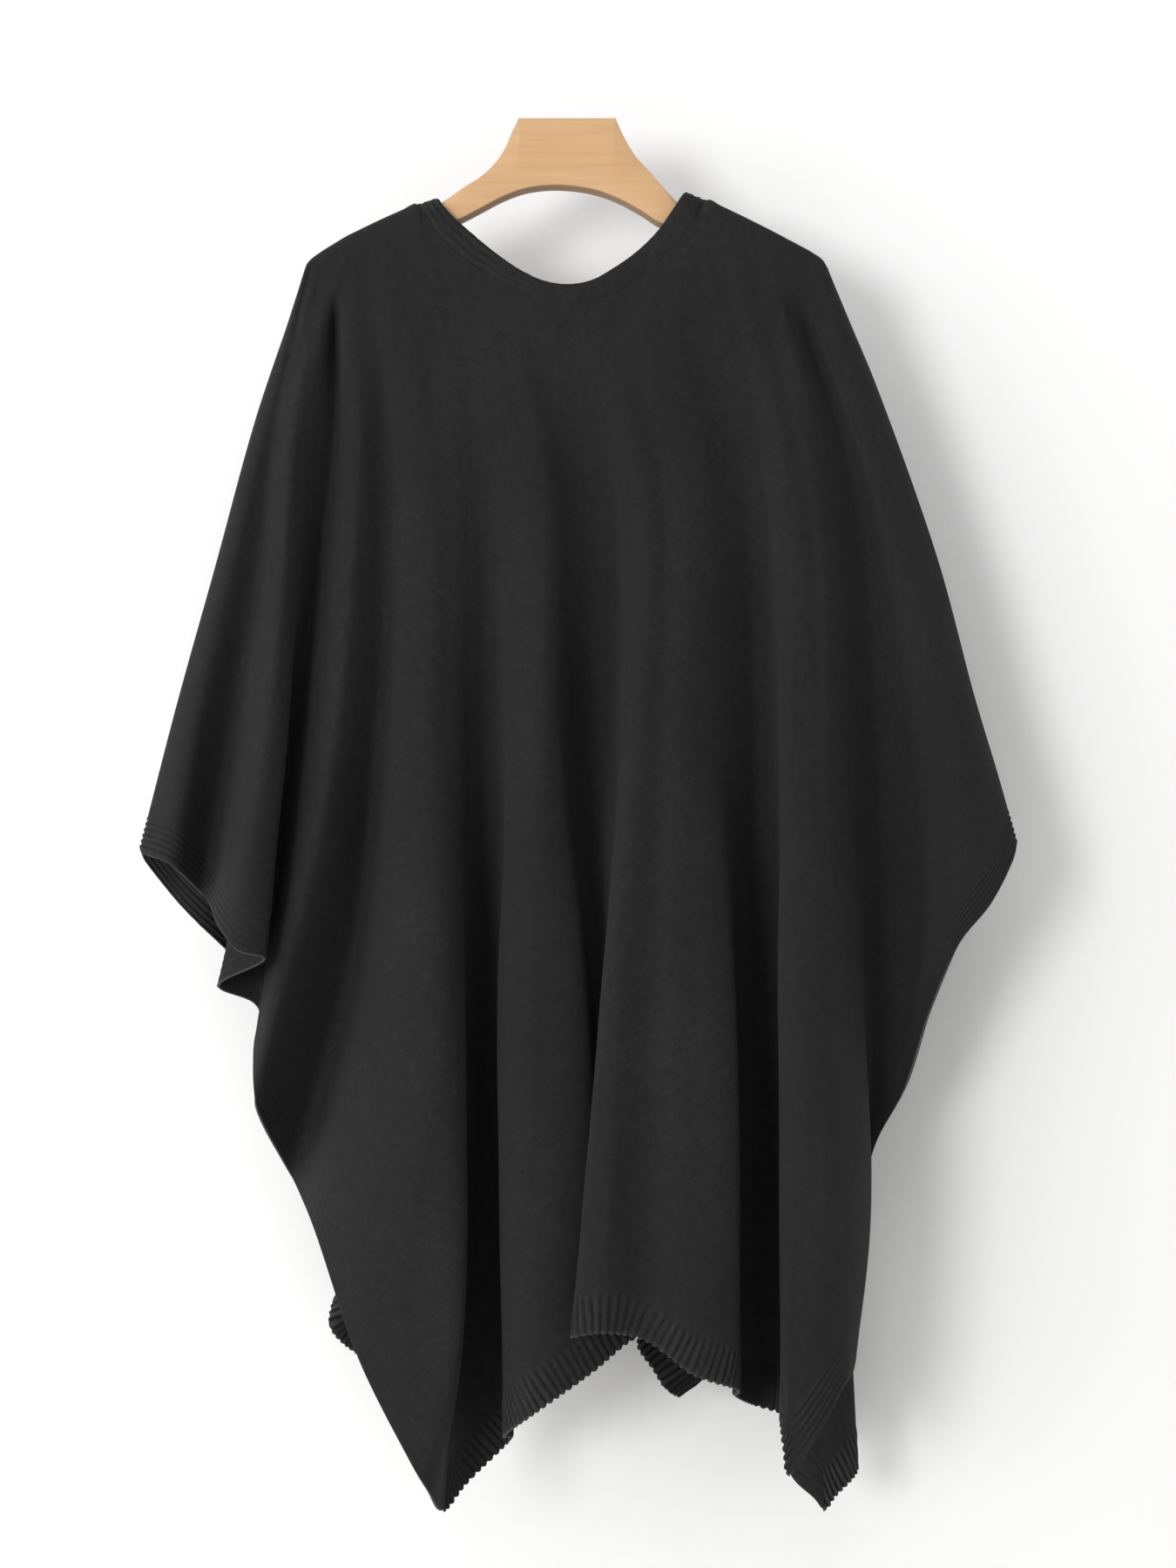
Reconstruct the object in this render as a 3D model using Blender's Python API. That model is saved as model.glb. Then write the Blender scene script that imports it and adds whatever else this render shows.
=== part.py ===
"""Open-front knitted cape hanging on a wooden hanger, seen from behind along +Y.

The origin is the middle of the flat top of the hanger's block. +X is to the right
as seen from behind, -Y is the back of the garment and +Y its fronts, +Z is up.

The garment is cut as a plain rectangle, slit up the front and scooped at the neck.
It hangs over the hanger, so its shape is a fan of folds that start at the shoulders
and the neck and end at the side edge, the corner or the hem. Each row of a fold
table is one ridge or trough of that fan. The cloth is a smooth surface through the
rows, with a wall turned inwards, and its last 30 mm are the rib bands.
"""

from collections import namedtuple

import bmesh
import bpy
import numpy as np

# ---------------------------------------------------------------- driving sizes
UNIT = 0.00064          # m: one drawing unit, in which the outlines below are given
ORIGIN_AT = (651, 135)  # drawing position (across, down) of the middle of the block's near top edge
EYE_AT = (675, 900)     # drawing position of the level sight line
EYE_DISTANCE = 1.42     # m from the eye to the plane of the hanger
WALL = 0.0022           # m: knit thickness
SEAM_GAP = 0.0003       # m between two pieces at a seam
HEM_RIB = 0.030         # m: height of the hem ribs
SIDE_RIB = 0.026        # m: width of the side rib bands
HANGER_THICK = 0.0145   # m: wood thickness, front to back
HANGER_ROUND = 0.0070   # m: rounding of the wings' top edges
HANGER_EASE = 0.0008    # m: rounding of its other edges
HANGER_DROP = 6.4       # drawing units from the top of the cloth to the wood's near edge below it

# How the cloth leaves the shoulder line: (drop, out) in mm, over the rounded wing.
OVER_SHOULDER = ((0.0, 0.15), (0.6, 6.2), (3.2, 10.8), (8.5, 13.4), (20.0, 15.0), (42.0, 15.8))
# Rows of points down each fold: mm from its top, then shares of what is left.
TOP_ROWS = (0.0, 5.0, 10.5, 17.0, 30.0)
DOWN_ROWS = (0.08, 0.18, 0.30, 0.44, 0.59, 0.75, 0.90)

# ---------------------------------------------------------------- outlines
Pt = namedtuple("Pt", "across down")
# Top of the cloth along the left shoulder, from the hanger's end to the neck.
SHOULDER_LEFT = (Pt(351, 309), Pt(356, 302), Pt(363, 295.5), Pt(372, 289), Pt(398, 273), Pt(437, 254), Pt(478, 235.5), Pt(500, 229))
SHOULDER_RIGHT = (Pt(790, 222), Pt(812, 231), Pt(848, 248), Pt(884, 266), Pt(918, 284), Pt(934, 293), Pt(943, 300), Pt(950, 308))
# Seam between the back and its neck band, then the band's free edge: across, down, mm out.
NeckPt = namedtuple("NeckPt", "across down out")
NECK_SEAM = (
    NeckPt(478, 235.5, 0.15), NeckPt(480, 234.5, 8), NeckPt(485, 241, 13), NeckPt(499, 264, 15), NeckPt(522, 289, 17), NeckPt(552, 310, 18),
    NeckPt(590, 331, 20), NeckPt(622, 344, 21), NeckPt(651, 348, 21), NeckPt(682, 345, 21), NeckPt(712, 334, 20), NeckPt(744, 311, 18),
    NeckPt(775, 281, 17), NeckPt(796, 253, 15), NeckPt(805, 237, 13), NeckPt(810, 230, 8), NeckPt(812, 231, 0.15),
)
NECK_EDGE = (
    NeckPt(500, 229, 0.15), NeckPt(502, 228, 8), NeckPt(506, 234, 13), NeckPt(517, 247, 14.5), NeckPt(536, 264, 15), NeckPt(562, 286, 17),
    NeckPt(596, 310, 19), NeckPt(624, 323, 20), NeckPt(651, 327, 20), NeckPt(680, 322, 20), NeckPt(704, 309, 19), NeckPt(731, 290, 17),
    NeckPt(757, 264, 15), NeckPt(774, 240, 14.5), NeckPt(783, 227, 13), NeckPt(788, 221, 8), NeckPt(790, 222, 0.15),
)

# ---------------------------------------------------------------- folds
# top: where the row starts on the shoulder and neck line (across).
# upper, middle, lower, end: (across, down, mm out from the plane of the hanger).
# high: an extra point at this share of the way from the top to upper, moved (across, mm out) from the straight line.
Fold = namedtuple("Fold", "name top upper middle lower end high", defaults=(None,))
BACK = (
    Fold("arm_fold_left", 351, (293, 482, 0.15), (247, 650, 0.15), (203, 808, 0.15), (160, 975, 0.15)),
    Fold("arm_turn_left", 354, (296, 483, 8), (250, 651, 9), (206, 809, 11), (164, 979, 12)),
    Fold("arm_lobe_left", 358, (305, 484, 13), (265, 652, 18), (229, 812, 26), (197, 992, 34)),
    Fold("sleeve_trough", 363, (316, 484, 13), (296, 652, 11), (270, 815, 8), (234, 1028, 3)),
    Fold("pleat_left", 369, (326, 484, 20), (311, 650, 31), (292, 830, 42), (249, 1062, 50)),
    Fold("pleat_ridge", 375, (338, 484, 27), (326, 655, 40), (309, 835, 54), (272, 1090, 68)),
    Fold("pleat_right", 381, (353, 485, 21), (342, 660, 30), (330, 845, 42), (306, 1100, 56)),
    Fold("pleat_under", 387, (370, 486, 12), (353, 664, 12), (320, 850, 11), (252, 1132, 26), (0.50, -3, 0)),
    Fold("pleat_tuck", 394, (386, 487, 4), (366, 664, 3), (335, 850, 6), (294, 1152, 4), (0.50, -5, -1)),
    Fold("side_lobe_left", 402, (396, 520, 21), (380, 700, 25), (350, 900, 27), (290, 1205, 24), (0.50, -5, 0)),
    Fold("side_lobe", 413, (412, 520, 26), (400, 700, 34), (376, 900, 44), (293, 1262, 44), (0.50, -4, 0)),
    Fold("side_trough", 428, (444, 570, 14), (433, 850, 10), (404, 1110, -4), (336, 1352, -14)),
    Fold("wide_lobe_left", 440, (464, 560, 24), (455, 850, 34), (428, 1140, 42), (361, 1412, 26)),
    Fold("wide_lobe", 452, (492, 560, 27), (488, 850, 43), (474, 1150, 66), (413, 1562, 56)),
    Fold("wide_lobe_right", 464, (512, 560, 24), (512, 850, 37), (513, 1200, 66), (470, 1676, 66)),
    Fold("left_fold", 478, (526, 560, 22), (527, 850, 28), (529, 1540, 64), (493, 1712, 58)),
    Fold("left_corner", 486, (537, 560, 19.5), (539, 850, 14), (520, 1580, 12), (511, 1732, 14)),
    Fold("deep_left_floor", 500, (549, 560, 18), (555, 850, 4), (549, 1250, -8), (536, 1700, -4)),
    Fold("deep_left_back", 514, (563, 560, 19), (573, 850, 8), (576, 1170, -1), (583, 1652, -8)),
    Fold("left_lobe_edge", 528, (579, 560, 23), (585, 850, 26), (572, 1170, 40), (578, 1645, 42)),
    Fold("left_lobe", 550, (610, 560, 27), (616, 850, 40), (606, 1160, 60), (614, 1619, 68)),
    Fold("left_lobe_right", 580, (632, 560, 26), (641, 850, 32), (666, 1135, 50), (680, 1573, 56)),
    Fold("middle_wall", 602, (653, 560, 14), (656, 850, 3), (682, 1140, 26), (728, 1534, 40)),
    Fold("middle_floor", 622, (676, 560, 9), (683, 850, -13), (703, 1150, 17), (764, 1526, 42)),
    Fold("middle_under", 640, (700, 560, 12), (706, 850, -1), (696, 1150, 40), (716, 1522, 62)),
    Fold("middle_lobe_edge", 655, (716, 560, 21), (716, 850, 30), (689, 1155, 62), (655, 1532, 76)),
    Fold("middle_lobe_left", 676, (738, 560, 28), (732, 850, 42), (706, 1155, 72), (686, 1528, 88)),
    Fold("middle_dip", 700, (760, 560, 26), (758, 850, 40), (745, 1155, 64), (738, 1534, 76)),
    Fold("middle_lobe_right", 724, (784, 560, 28), (784, 850, 42), (786, 1155, 70), (796, 1575, 90)),
    Fold("middle_lobe_end", 748, (812, 560, 23), (818, 850, 31), (842, 1160, 58), (847, 1592, 76)),
    Fold("deep_right_wall", 768, (836, 560, 13), (845, 850, 8), (844, 1160, 14), (846, 1600, 26)),
    Fold("deep_right_floor", 784, (855, 560, 9), (867, 850, -8), (869, 1160, -11), (869, 1611, -11)),
    Fold("deep_right_back", 797, (872, 560, 12), (886, 850, -3), (897, 1160, -6), (897, 1620, -8)),
    Fold("right_lobe_edge", 812, (887, 560, 21), (896, 850, 28), (894, 1170, 50), (895, 1628, 60)),
    Fold("right_lobe_left", 826, (902, 560, 28), (909, 860, 41), (908, 1190, 68), (900, 1662, 74)),
    Fold("right_corner", 838, (914, 560, 28), (926, 880, 43), (930, 1240, 74), (907, 1691, 78)),
    Fold("right_lobe", 848, (925, 560, 26), (941, 900, 42), (956, 1300, 72), (938, 1650, 76)),
    Fold("right_lobe_right", 857, (938, 560, 25), (956, 920, 39), (982, 1360, 56), (968, 1594, 64)),
    Fold("right_lobe_turn", 865, (952, 560, 19), (972, 940, 27), (1000, 1395, 26), (982, 1562, 38)),
    Fold("right_lobe_under", 873, (967, 560, 9), (990, 940, -3), (993, 1290, -10), (980, 1440, -4), (0.45, 5, 0)),
    Fold("wing_trough", 881, (982, 560, 3), (1013, 905, -17), (1020, 1135, -18), (1003, 1318, -12), (0.45, 7, -1)),
    Fold("wing_slope", 891, (999, 570, 9), (1042, 880, -8), (1055, 1070, -12), (1037, 1251, -8), (0.45, 5, 0)),
    Fold("wing_rise", 902, (1014, 590, 17), (1064, 850, 17), (1078, 1000, 15), (1066, 1161, 11), (0.40, 2, 0)),
    Fold("wing_lobe", 916, (1036, 610, 20), (1086, 830, 24), (1108, 950, 28), (1100, 1084, 28), (0.40, 3, 0)),
    Fold("wing_outer", 931, (1053, 630, 15), (1102, 805, 19), (1130, 915, 22), (1138, 1037, 24), (0.40, 4, 0)),
    Fold("arm_turn_right", 944, (1069, 640, 8), (1113, 798, 11), (1142, 897, 12), (1164, 986, 13), (0.40, 5, 0)),
    Fold("arm_fold_right", 950, (1076, 640, 0.15), (1119, 800, 0.15), (1146, 890, 0.15), (1168, 968, 0.15), (0.40, 5, 0)),
)
# The fronts hang behind, from the arm folds to their opening edges.
FRONT_LEFT = (
    Fold("arm_fold_left", 351, (293, 482, 0.15), (247, 650, 0.15), (203, 808, 0.15), (160, 975, 0.15)),
    Fold("arm_turn_left", 354, (296, 483, 8), (250, 652, 9), (206, 812, 9), (164, 984, 6)),
    Fold("arm_lobe_left", 359, (304, 486, 14), (262, 656, 18), (226, 822, 20), (194, 1022, 12)),
    Fold("sleeve_trough", 364, (316, 490, 12), (292, 668, 12), (266, 850, 13), (232, 1063, 12)),
    Fold("sleeve_lobe", 371, (334, 495, 26), (318, 690, 40), (304, 880, 50), (284, 1118, 40)),
    Fold("side_trough_1", 380, (356, 500, 14), (350, 700, 15), (344, 900, 18), (313, 1184, 24)),
    Fold("side_lobe_1", 392, (382, 510, 30), (384, 740, 48), (380, 980, 66), (326, 1290, 64)),
    Fold("side_trough_2", 404, (408, 520, 17), (416, 780, 24), (408, 1060, 32), (358, 1392, 36)),
    Fold("side_lobe_2", 416, (434, 530, 34), (448, 820, 60), (440, 1130, 84), (371, 1432, 72)),
    Fold("outer_edge", 425, (452, 536, 28), (470, 850, 46), (460, 1180, 70), (390, 1478, 66)),
    Fold("outer_corner", 432, (466, 542, 21), (488, 860, 30), (480, 1220, 52), (385, 1496, 64)),
    Fold("hem_trough_1", 439, (480, 548, 18), (505, 870, 24), (500, 1240, 42), (382, 1524, 54)),
    Fold("hem_lobe_1", 447, (500, 555, 32), (530, 880, 60), (532, 1240, 88), (432, 1563, 78)),
    Fold("hem_trough_2", 456, (520, 560, 18), (552, 890, 26), (556, 1250, 48), (500, 1580, 56)),
    Fold("hem_lobe_2", 466, (540, 565, 34), (574, 900, 62), (584, 1255, 88), (562, 1566, 98)),
    Fold("band_seam", 478, (560, 570, 26), (598, 905, 42), (614, 1260, 64), (618, 1550, 72)),
    Fold("opening_edge", 500, (582, 566, 20), (620, 905, 33), (637, 1260, 54), (642, 1546, 62)),
)
FRONT_RIGHT = (
    Fold("arm_fold_right", 950, (1076, 640, 0.15), (1119, 800, 0.15), (1146, 890, 0.15), (1168, 968, 0.15), (0.40, 5, 0)),
    Fold("arm_turn_right", 944, (1068, 640, 9), (1111, 798, 12), (1140, 897, 13), (1160, 986, 12), (0.40, 5, 0)),
    Fold("wing_lobe", 935, (1050, 632, 18), (1094, 800, 27), (1116, 915, 32), (1130, 1028, 32), (0.40, 4, 0)),
    Fold("wing_trough", 925, (1030, 620, 14), (1068, 830, 16), (1082, 960, 16), (1088, 1076, 14), (0.40, 3, 0)),
    Fold("side_lobe_1", 915, (1006, 605, 27), (1038, 830, 42), (1046, 1000, 54), (1046, 1152, 52), (0.40, 2, 0)),
    Fold("side_trough_1", 904, (982, 585, 17), (1008, 830, 25), (1014, 1050, 30), (1014, 1240, 28)),
    Fold("side_lobe_2", 893, (956, 570, 30), (980, 840, 48), (986, 1110, 62), (980, 1322, 52)),
    Fold("side_trough_2", 883, (938, 560, 16), (957, 860, 21), (960, 1180, 26), (956, 1420, 16)),
    Fold("side_lobe_3", 876, (930, 560, 19), (948, 870, 23), (946, 1210, 25), (920, 1560, 12)),
    Fold("outer_edge", 870, (926, 560, 21), (943, 880, 28), (938, 1300, 30), (906, 1688, 8)),
    Fold("outer_edge_low", 867, (924, 561, 23), (944, 885, 33), (940, 1360, 36), (935, 1719, 6)),
    Fold("outer_corner", 864, (922, 562, 25), (946, 890, 38), (942, 1420, 42), (946, 1731, 6)),
    Fold("corner_hem", 861, (919, 563, 28), (947, 895, 46), (952, 1430, 58), (958, 1716, 14)),
    Fold("corner_turn", 857, (916, 564, 31), (948, 900, 54), (972, 1440, 76), (985, 1684, 40)),
    Fold("corner_back", 850, (904, 562, 34), (932, 890, 66), (950, 1300, 98), (960, 1652, 84)),
    Fold("hem_lobe_1", 844, (888, 560, 32), (910, 880, 62), (920, 1280, 98), (924, 1626, 104)),
    Fold("hem_trough_1", 837, (868, 558, 18), (884, 870, 26), (890, 1260, 48), (888, 1596, 52)),
    Fold("hem_lobe_2", 830, (846, 556, 32), (856, 870, 60), (858, 1250, 90), (848, 1560, 102)),
    Fold("hem_trough_2", 823, (826, 556, 18), (828, 870, 27), (826, 1250, 48), (806, 1532, 58)),
    Fold("inner_lobe", 820, (812, 556, 27), (806, 870, 46), (798, 1250, 72), (764, 1512, 78)),
    Fold("inner_turn", 817, (806, 556, 26), (799, 870, 42), (792, 1330, 66), (733, 1537, 58)),
    Fold("inner_corner", 814, (802, 556, 24), (794, 870, 38), (797, 1500, 54), (752, 1571, 44)),
    Fold("band_seam", 812, (799, 556, 22), (790, 870, 35), (802, 1550, 44), (765, 1592, 35)),
    Fold("opening_edge", 790, (784, 560, 16), (780, 870, 26), (815, 1568, 34), (779, 1602, 26)),
)

# Wooden hanger: drawing positions. Its wings run on under the cloth.
BLOCK_LEFT = (Pt(595, 135), Pt(593, 140), Pt(588, 150), Pt(580, 169), Pt(567, 188), Pt(549, 204), Pt(530, 215.5), Pt(508, 228.5))
BLOCK_RIGHT = (Pt(784, 235), Pt(766, 219), Pt(747, 198), Pt(729, 178), Pt(716, 156), Pt(709, 141), Pt(706.5, 135))
ARC = (Pt(531, 250), Pt(552, 239), Pt(578, 225.5), Pt(601, 217), Pt(628, 213), Pt(654, 213.5), Pt(686, 219), Pt(712, 229), Pt(736, 242), Pt(758, 256))
WING_HEIGHT = 26        # drawing units, from a wing's top to its underside
WING_END = 18           # drawing units between a wing's end and the cloth's fold there


# ---------------------------------------------------------------- curves and surfaces
def place(across, down, out, side):
    """World point of a drawing position that lies `out` mm to the back (side -1) or the front (side 1)."""
    y = side * np.asarray(out, float) / 1000
    reach = (EYE_DISTANCE + y) / EYE_DISTANCE
    near = (EYE_DISTANCE - HANGER_THICK / 2) / EYE_DISTANCE
    x = (EYE_AT[0] - ORIGIN_AT[0]) * UNIT * near + (np.asarray(across, float) - EYE_AT[0]) * UNIT * reach
    z = (ORIGIN_AT[1] - EYE_AT[1]) * UNIT * near + (EYE_AT[1] - np.asarray(down, float)) * UNIT * reach
    return np.stack(np.broadcast_arrays(x, y, z), -1)


def spline(knots, values, at):
    """Smooth curve through values at knots, by finite-difference Hermite spans."""
    knots, values, at = np.asarray(knots, float), np.asarray(values, float), np.asarray(at, float)
    step = np.diff(knots)
    slope = np.diff(values, axis=0) / step[:, None]
    tangent = np.empty_like(values)
    tangent[0], tangent[-1] = slope[0], slope[-1]
    share = (step[1:] / (step[1:] + step[:-1]))[:, None]
    tangent[1:-1] = slope[:-1] * share + slope[1:] * (1 - share)
    i = np.clip(np.searchsorted(knots, at, side="right") - 1, 0, len(knots) - 2)
    t = ((at - knots[i]) / step[i])[:, None]
    h = step[i][:, None]
    return (
        values[i] * (1 + 2 * t) * (1 - t) ** 2 + tangent[i] * h * t * (1 - t) ** 2
        + values[i + 1] * t * t * (3 - 2 * t) + tangent[i + 1] * h * t * t * (t - 1)
    )


def lengths(points):
    return np.concatenate([[0], np.cumsum(np.linalg.norm(np.diff(points, axis=0), axis=1))])


def down_at(outline, across):
    return np.interp(across, [p.across for p in outline], [p.down for p in outline])


def neck_at(curve, across):
    a = [p.across for p in curve]
    return np.interp(across, a, [p.down for p in curve]), np.interp(across, a, [p.out for p in curve])


def high_point(fold, side):
    """The fold's extra point between the shoulder and `upper`, if it has one."""
    if fold.high is None:
        return None
    share, across, out = fold.high
    down = down_at(SHOULDER_LEFT if fold.top < 651 else SHOULDER_RIGHT, fold.top)
    held = min(fold.upper[2], OVER_SHOULDER[-1][1])
    return place(
        fold.top + (fold.upper[0] - fold.top) * share + across, down + (fold.upper[1] - down) * share,
        held + (fold.upper[2] - held) * share + out, side)


def top_points(fold, side):
    """The first points of a fold, from the shoulder line or, at the back, from the neck seam."""
    across, upper = fold.top, np.array(place(*fold.upper, side))
    high = high_point(fold, side)
    aim = upper if high is None else high
    if side < 0 and NECK_SEAM[0].across < across < NECK_SEAM[-1].across:
        down, out = neck_at(NECK_SEAM, across)
        first = place(across, down, out, side)
        second = first + (upper - first) * 0.12
        second[1] = side * (max(out, 14.4) + 1.5) / 1000
        return [first, second]
    first = place(across, down_at(SHOULDER_LEFT if across < 651 else SHOULDER_RIGHT, across), 0.15, side)
    lean = (aim[0] - first[0]) / (first[2] - aim[2])
    over_wing = SHOULDER_LEFT[0].across + WING_END - 4 < across < SHOULDER_RIGHT[-1].across - WING_END + 4
    cap = max(fold.upper[2], OVER_SHOULDER[-1][1] if over_wing else 0.15)
    return [first + np.array([lean * drop, side * (min(out, cap) - 0.15), -drop]) / 1000 for drop, out in OVER_SHOULDER]


def fold_line(fold, side, rows):
    """Points down one fold, at the given rows."""
    high = high_point(fold, side)
    points = top_points(fold, side) + ([] if high is None else [high]) + [place(*p, side) for p in fold[2:6]]
    points = np.array(points)
    # Knots by the root of the spans, so that a short span next to a long one doesn't swing the curve out.
    knots = np.concatenate([[0], np.cumsum(np.linalg.norm(np.diff(points, axis=0), axis=1) ** 0.5)])
    fine = spline(knots, points, np.linspace(0, knots[-1], 200))
    run = lengths(fine)
    at = [r / 1000 for r in TOP_ROWS]
    at = at + [at[-1] + share * (run[-1] - at[-1]) for share in rows]
    return np.stack([np.interp(at, run, fine[:, k]) for k in range(3)], -1)


def surface(folds, side, spread, rows=DOWN_ROWS + (1.0,)):
    """Grid of points [across, down]: the fold lines, and columns between them, `spread` per span or at listed places."""
    lines = np.array([fold_line(f, side, rows) for f in folds])
    flat = lines.reshape(len(lines), -1)
    # Knots across follow the distance between neighbouring folds, so that tight pleats stay tight.
    gap = np.linalg.norm(np.diff(lines, axis=0), axis=2).mean(1) ** 0.5
    knots = np.concatenate([[0], np.cumsum(gap)])
    at = np.interp(spread, np.arange(len(folds)), knots)
    grid = spline(knots, flat, at).reshape(len(spread), lines.shape[1], 3)
    tops = np.interp(spread, np.arange(len(folds)), [f.top for f in folds])
    on_shoulder = (tops <= NECK_SEAM[0].across) | (tops >= NECK_SEAM[-1].across) | (side > 0)
    grid[on_shoulder, 0, 1] = side * SEAM_GAP / 2
    return grid


def along(grid, distance_from_end):
    """For each column, the point that lies this far from its end, measured down the cloth."""
    out = []
    for line, back in zip(grid, distance_from_end):
        run = lengths(line)
        at = run[-1] - back
        out.append([np.interp(at, run, line[:, k]) for k in range(3)])
    return np.array(out)


def normals(grid, at, side):
    """Unit normals, away from the garment's inside. `at` gives the columns' places, so that a seam's two rows agree."""
    run = np.linalg.norm(np.diff(grid, axis=1), axis=2).mean(0)
    du = np.gradient(grid, at, axis=0)
    dv = np.gradient(grid, np.concatenate([[0], np.cumsum(run)]), axis=1)
    n = np.cross(du, dv)
    n /= np.linalg.norm(n, axis=2, keepdims=True)
    return n if (n[..., 1].mean() * side) > 0 else -n


def shell(name, grid, normal, colour, flat_ends=()):
    """Closed wall: the grid is its outer face and the inner face lies WALL inside it."""
    normal = normal.copy()
    # At a seam in the plane of the hanger the wall turns in that plane, so that its edge face lies flat there.
    seams = []
    if "first" in flat_ends:
        seams.append([(0, j) for j in range(grid.shape[1])])
    if "last" in flat_ends:
        seams.append([(grid.shape[0] - 1, j) for j in range(grid.shape[1])])
    if "top" in flat_ends:
        tops = [i for i in range(grid.shape[0]) if abs(grid[i, 0, 1]) < 0.0004]
        breaks = [0] + [k + 1 for k, (a, b) in enumerate(zip(tops, tops[1:])) if b - a > 1] + [len(tops)]
        seams += [[(i, 0) for i in tops[a:b]] for a, b in zip(breaks, breaks[1:]) if b - a > 1]
    turned = {}
    for seam in seams:
        line = np.array([grid[k] for k in seam])
        tangent = np.gradient(line, axis=0)
        away = line - np.array([grid[..., 0].mean(), 0, -0.35])
        for k, t, w in zip(seam, tangent, away):
            n = np.array([t[2], 0, -t[0]]) / max(np.hypot(t[0], t[2]), 1e-9)
            turned.setdefault(k, []).append(n if n @ w > 0 else -n)
    for k, found in turned.items():
        n = np.mean(found, axis=0)
        normal[k] = n / np.linalg.norm(n)
    columns, rows = grid.shape[:2]
    inner = grid - normal * WALL
    mesh = bmesh.new()
    outer_v = [[mesh.verts.new(grid[i, j]) for j in range(rows)] for i in range(columns)]
    inner_v = [[mesh.verts.new(inner[i, j]) for j in range(rows)] for i in range(columns)]
    for i in range(columns - 1):
        for j in range(rows - 1):
            for v, turn in ((outer_v, False), (inner_v, True)):
                a, b, c, d = v[i][j], v[i + 1][j], v[i + 1][j + 1], v[i][j + 1]
                # The shorter diagonal of the outer face, so that both faces bend alike.
                short = np.linalg.norm(grid[i, j] - grid[i + 1, j + 1]) <= np.linalg.norm(grid[i + 1, j] - grid[i, j + 1])
                tris = ((a, b, c), (a, c, d)) if short else ((a, b, d), (b, c, d))
                for t in tris:
                    mesh.faces.new(t[::-1] if turn else t)
    rim = [(i, 0) for i in range(columns)] + [(columns - 1, j) for j in range(1, rows)]
    rim += [(i, rows - 1) for i in range(columns - 2, -1, -1)] + [(0, j) for j in range(rows - 2, 0, -1)]
    for a, b in zip(rim, rim[1:] + rim[:1]):
        (i, j), (k, l) = sorted((a, b))  # one diagonal for both sides of a seam
        for t in ((outer_v[i][j], outer_v[k][l], inner_v[k][l]), (outer_v[i][j], inner_v[k][l], inner_v[i][j])):
            mesh.faces.new(t if (a, b) == ((i, j), (k, l)) else t[::-1])
    bmesh.ops.recalc_face_normals(mesh, faces=mesh.faces)
    return finish(name, mesh, colour)


def finish(name, mesh, colour):
    data = bpy.data.meshes.new(name)
    mesh.to_mesh(data)
    mesh.free()
    obj = bpy.data.objects.new(name, data)
    bpy.context.scene.collection.objects.link(obj)
    data.materials.append(colour)
    data.shade_smooth()
    data.set_sharp_from_angle(angle=0.7)
    obj.parent = ROOT
    return obj


def material(name, rgb, roughness):
    made = bpy.data.materials.new(name)
    made.use_nodes = True
    shader = made.node_tree.nodes["Principled BSDF"]
    shader.inputs["Base Color"].default_value = (*rgb, 1)
    shader.inputs["Roughness"].default_value = roughness
    shader.inputs["Metallic"].default_value = 0
    return made


def span_columns(folds, between):
    """Column places: every fold, and `between` more in each span that is wide enough to need them."""
    at = [0.0]
    for i, (a, b) in enumerate(zip(folds, folds[1:])):
        width = max(abs(b.end[0] - a.end[0]) + abs(b.end[1] - a.end[1]) * 0.5, abs(b.middle[0] - a.middle[0]))
        extra = between * int(width > 34)
        at += [i + (k + 1) / (extra + 1) for k in range(extra)] + [i + 1.0]
    return at


def index_of(folds, name):
    return [f.name for f in folds].index(name)


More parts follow.
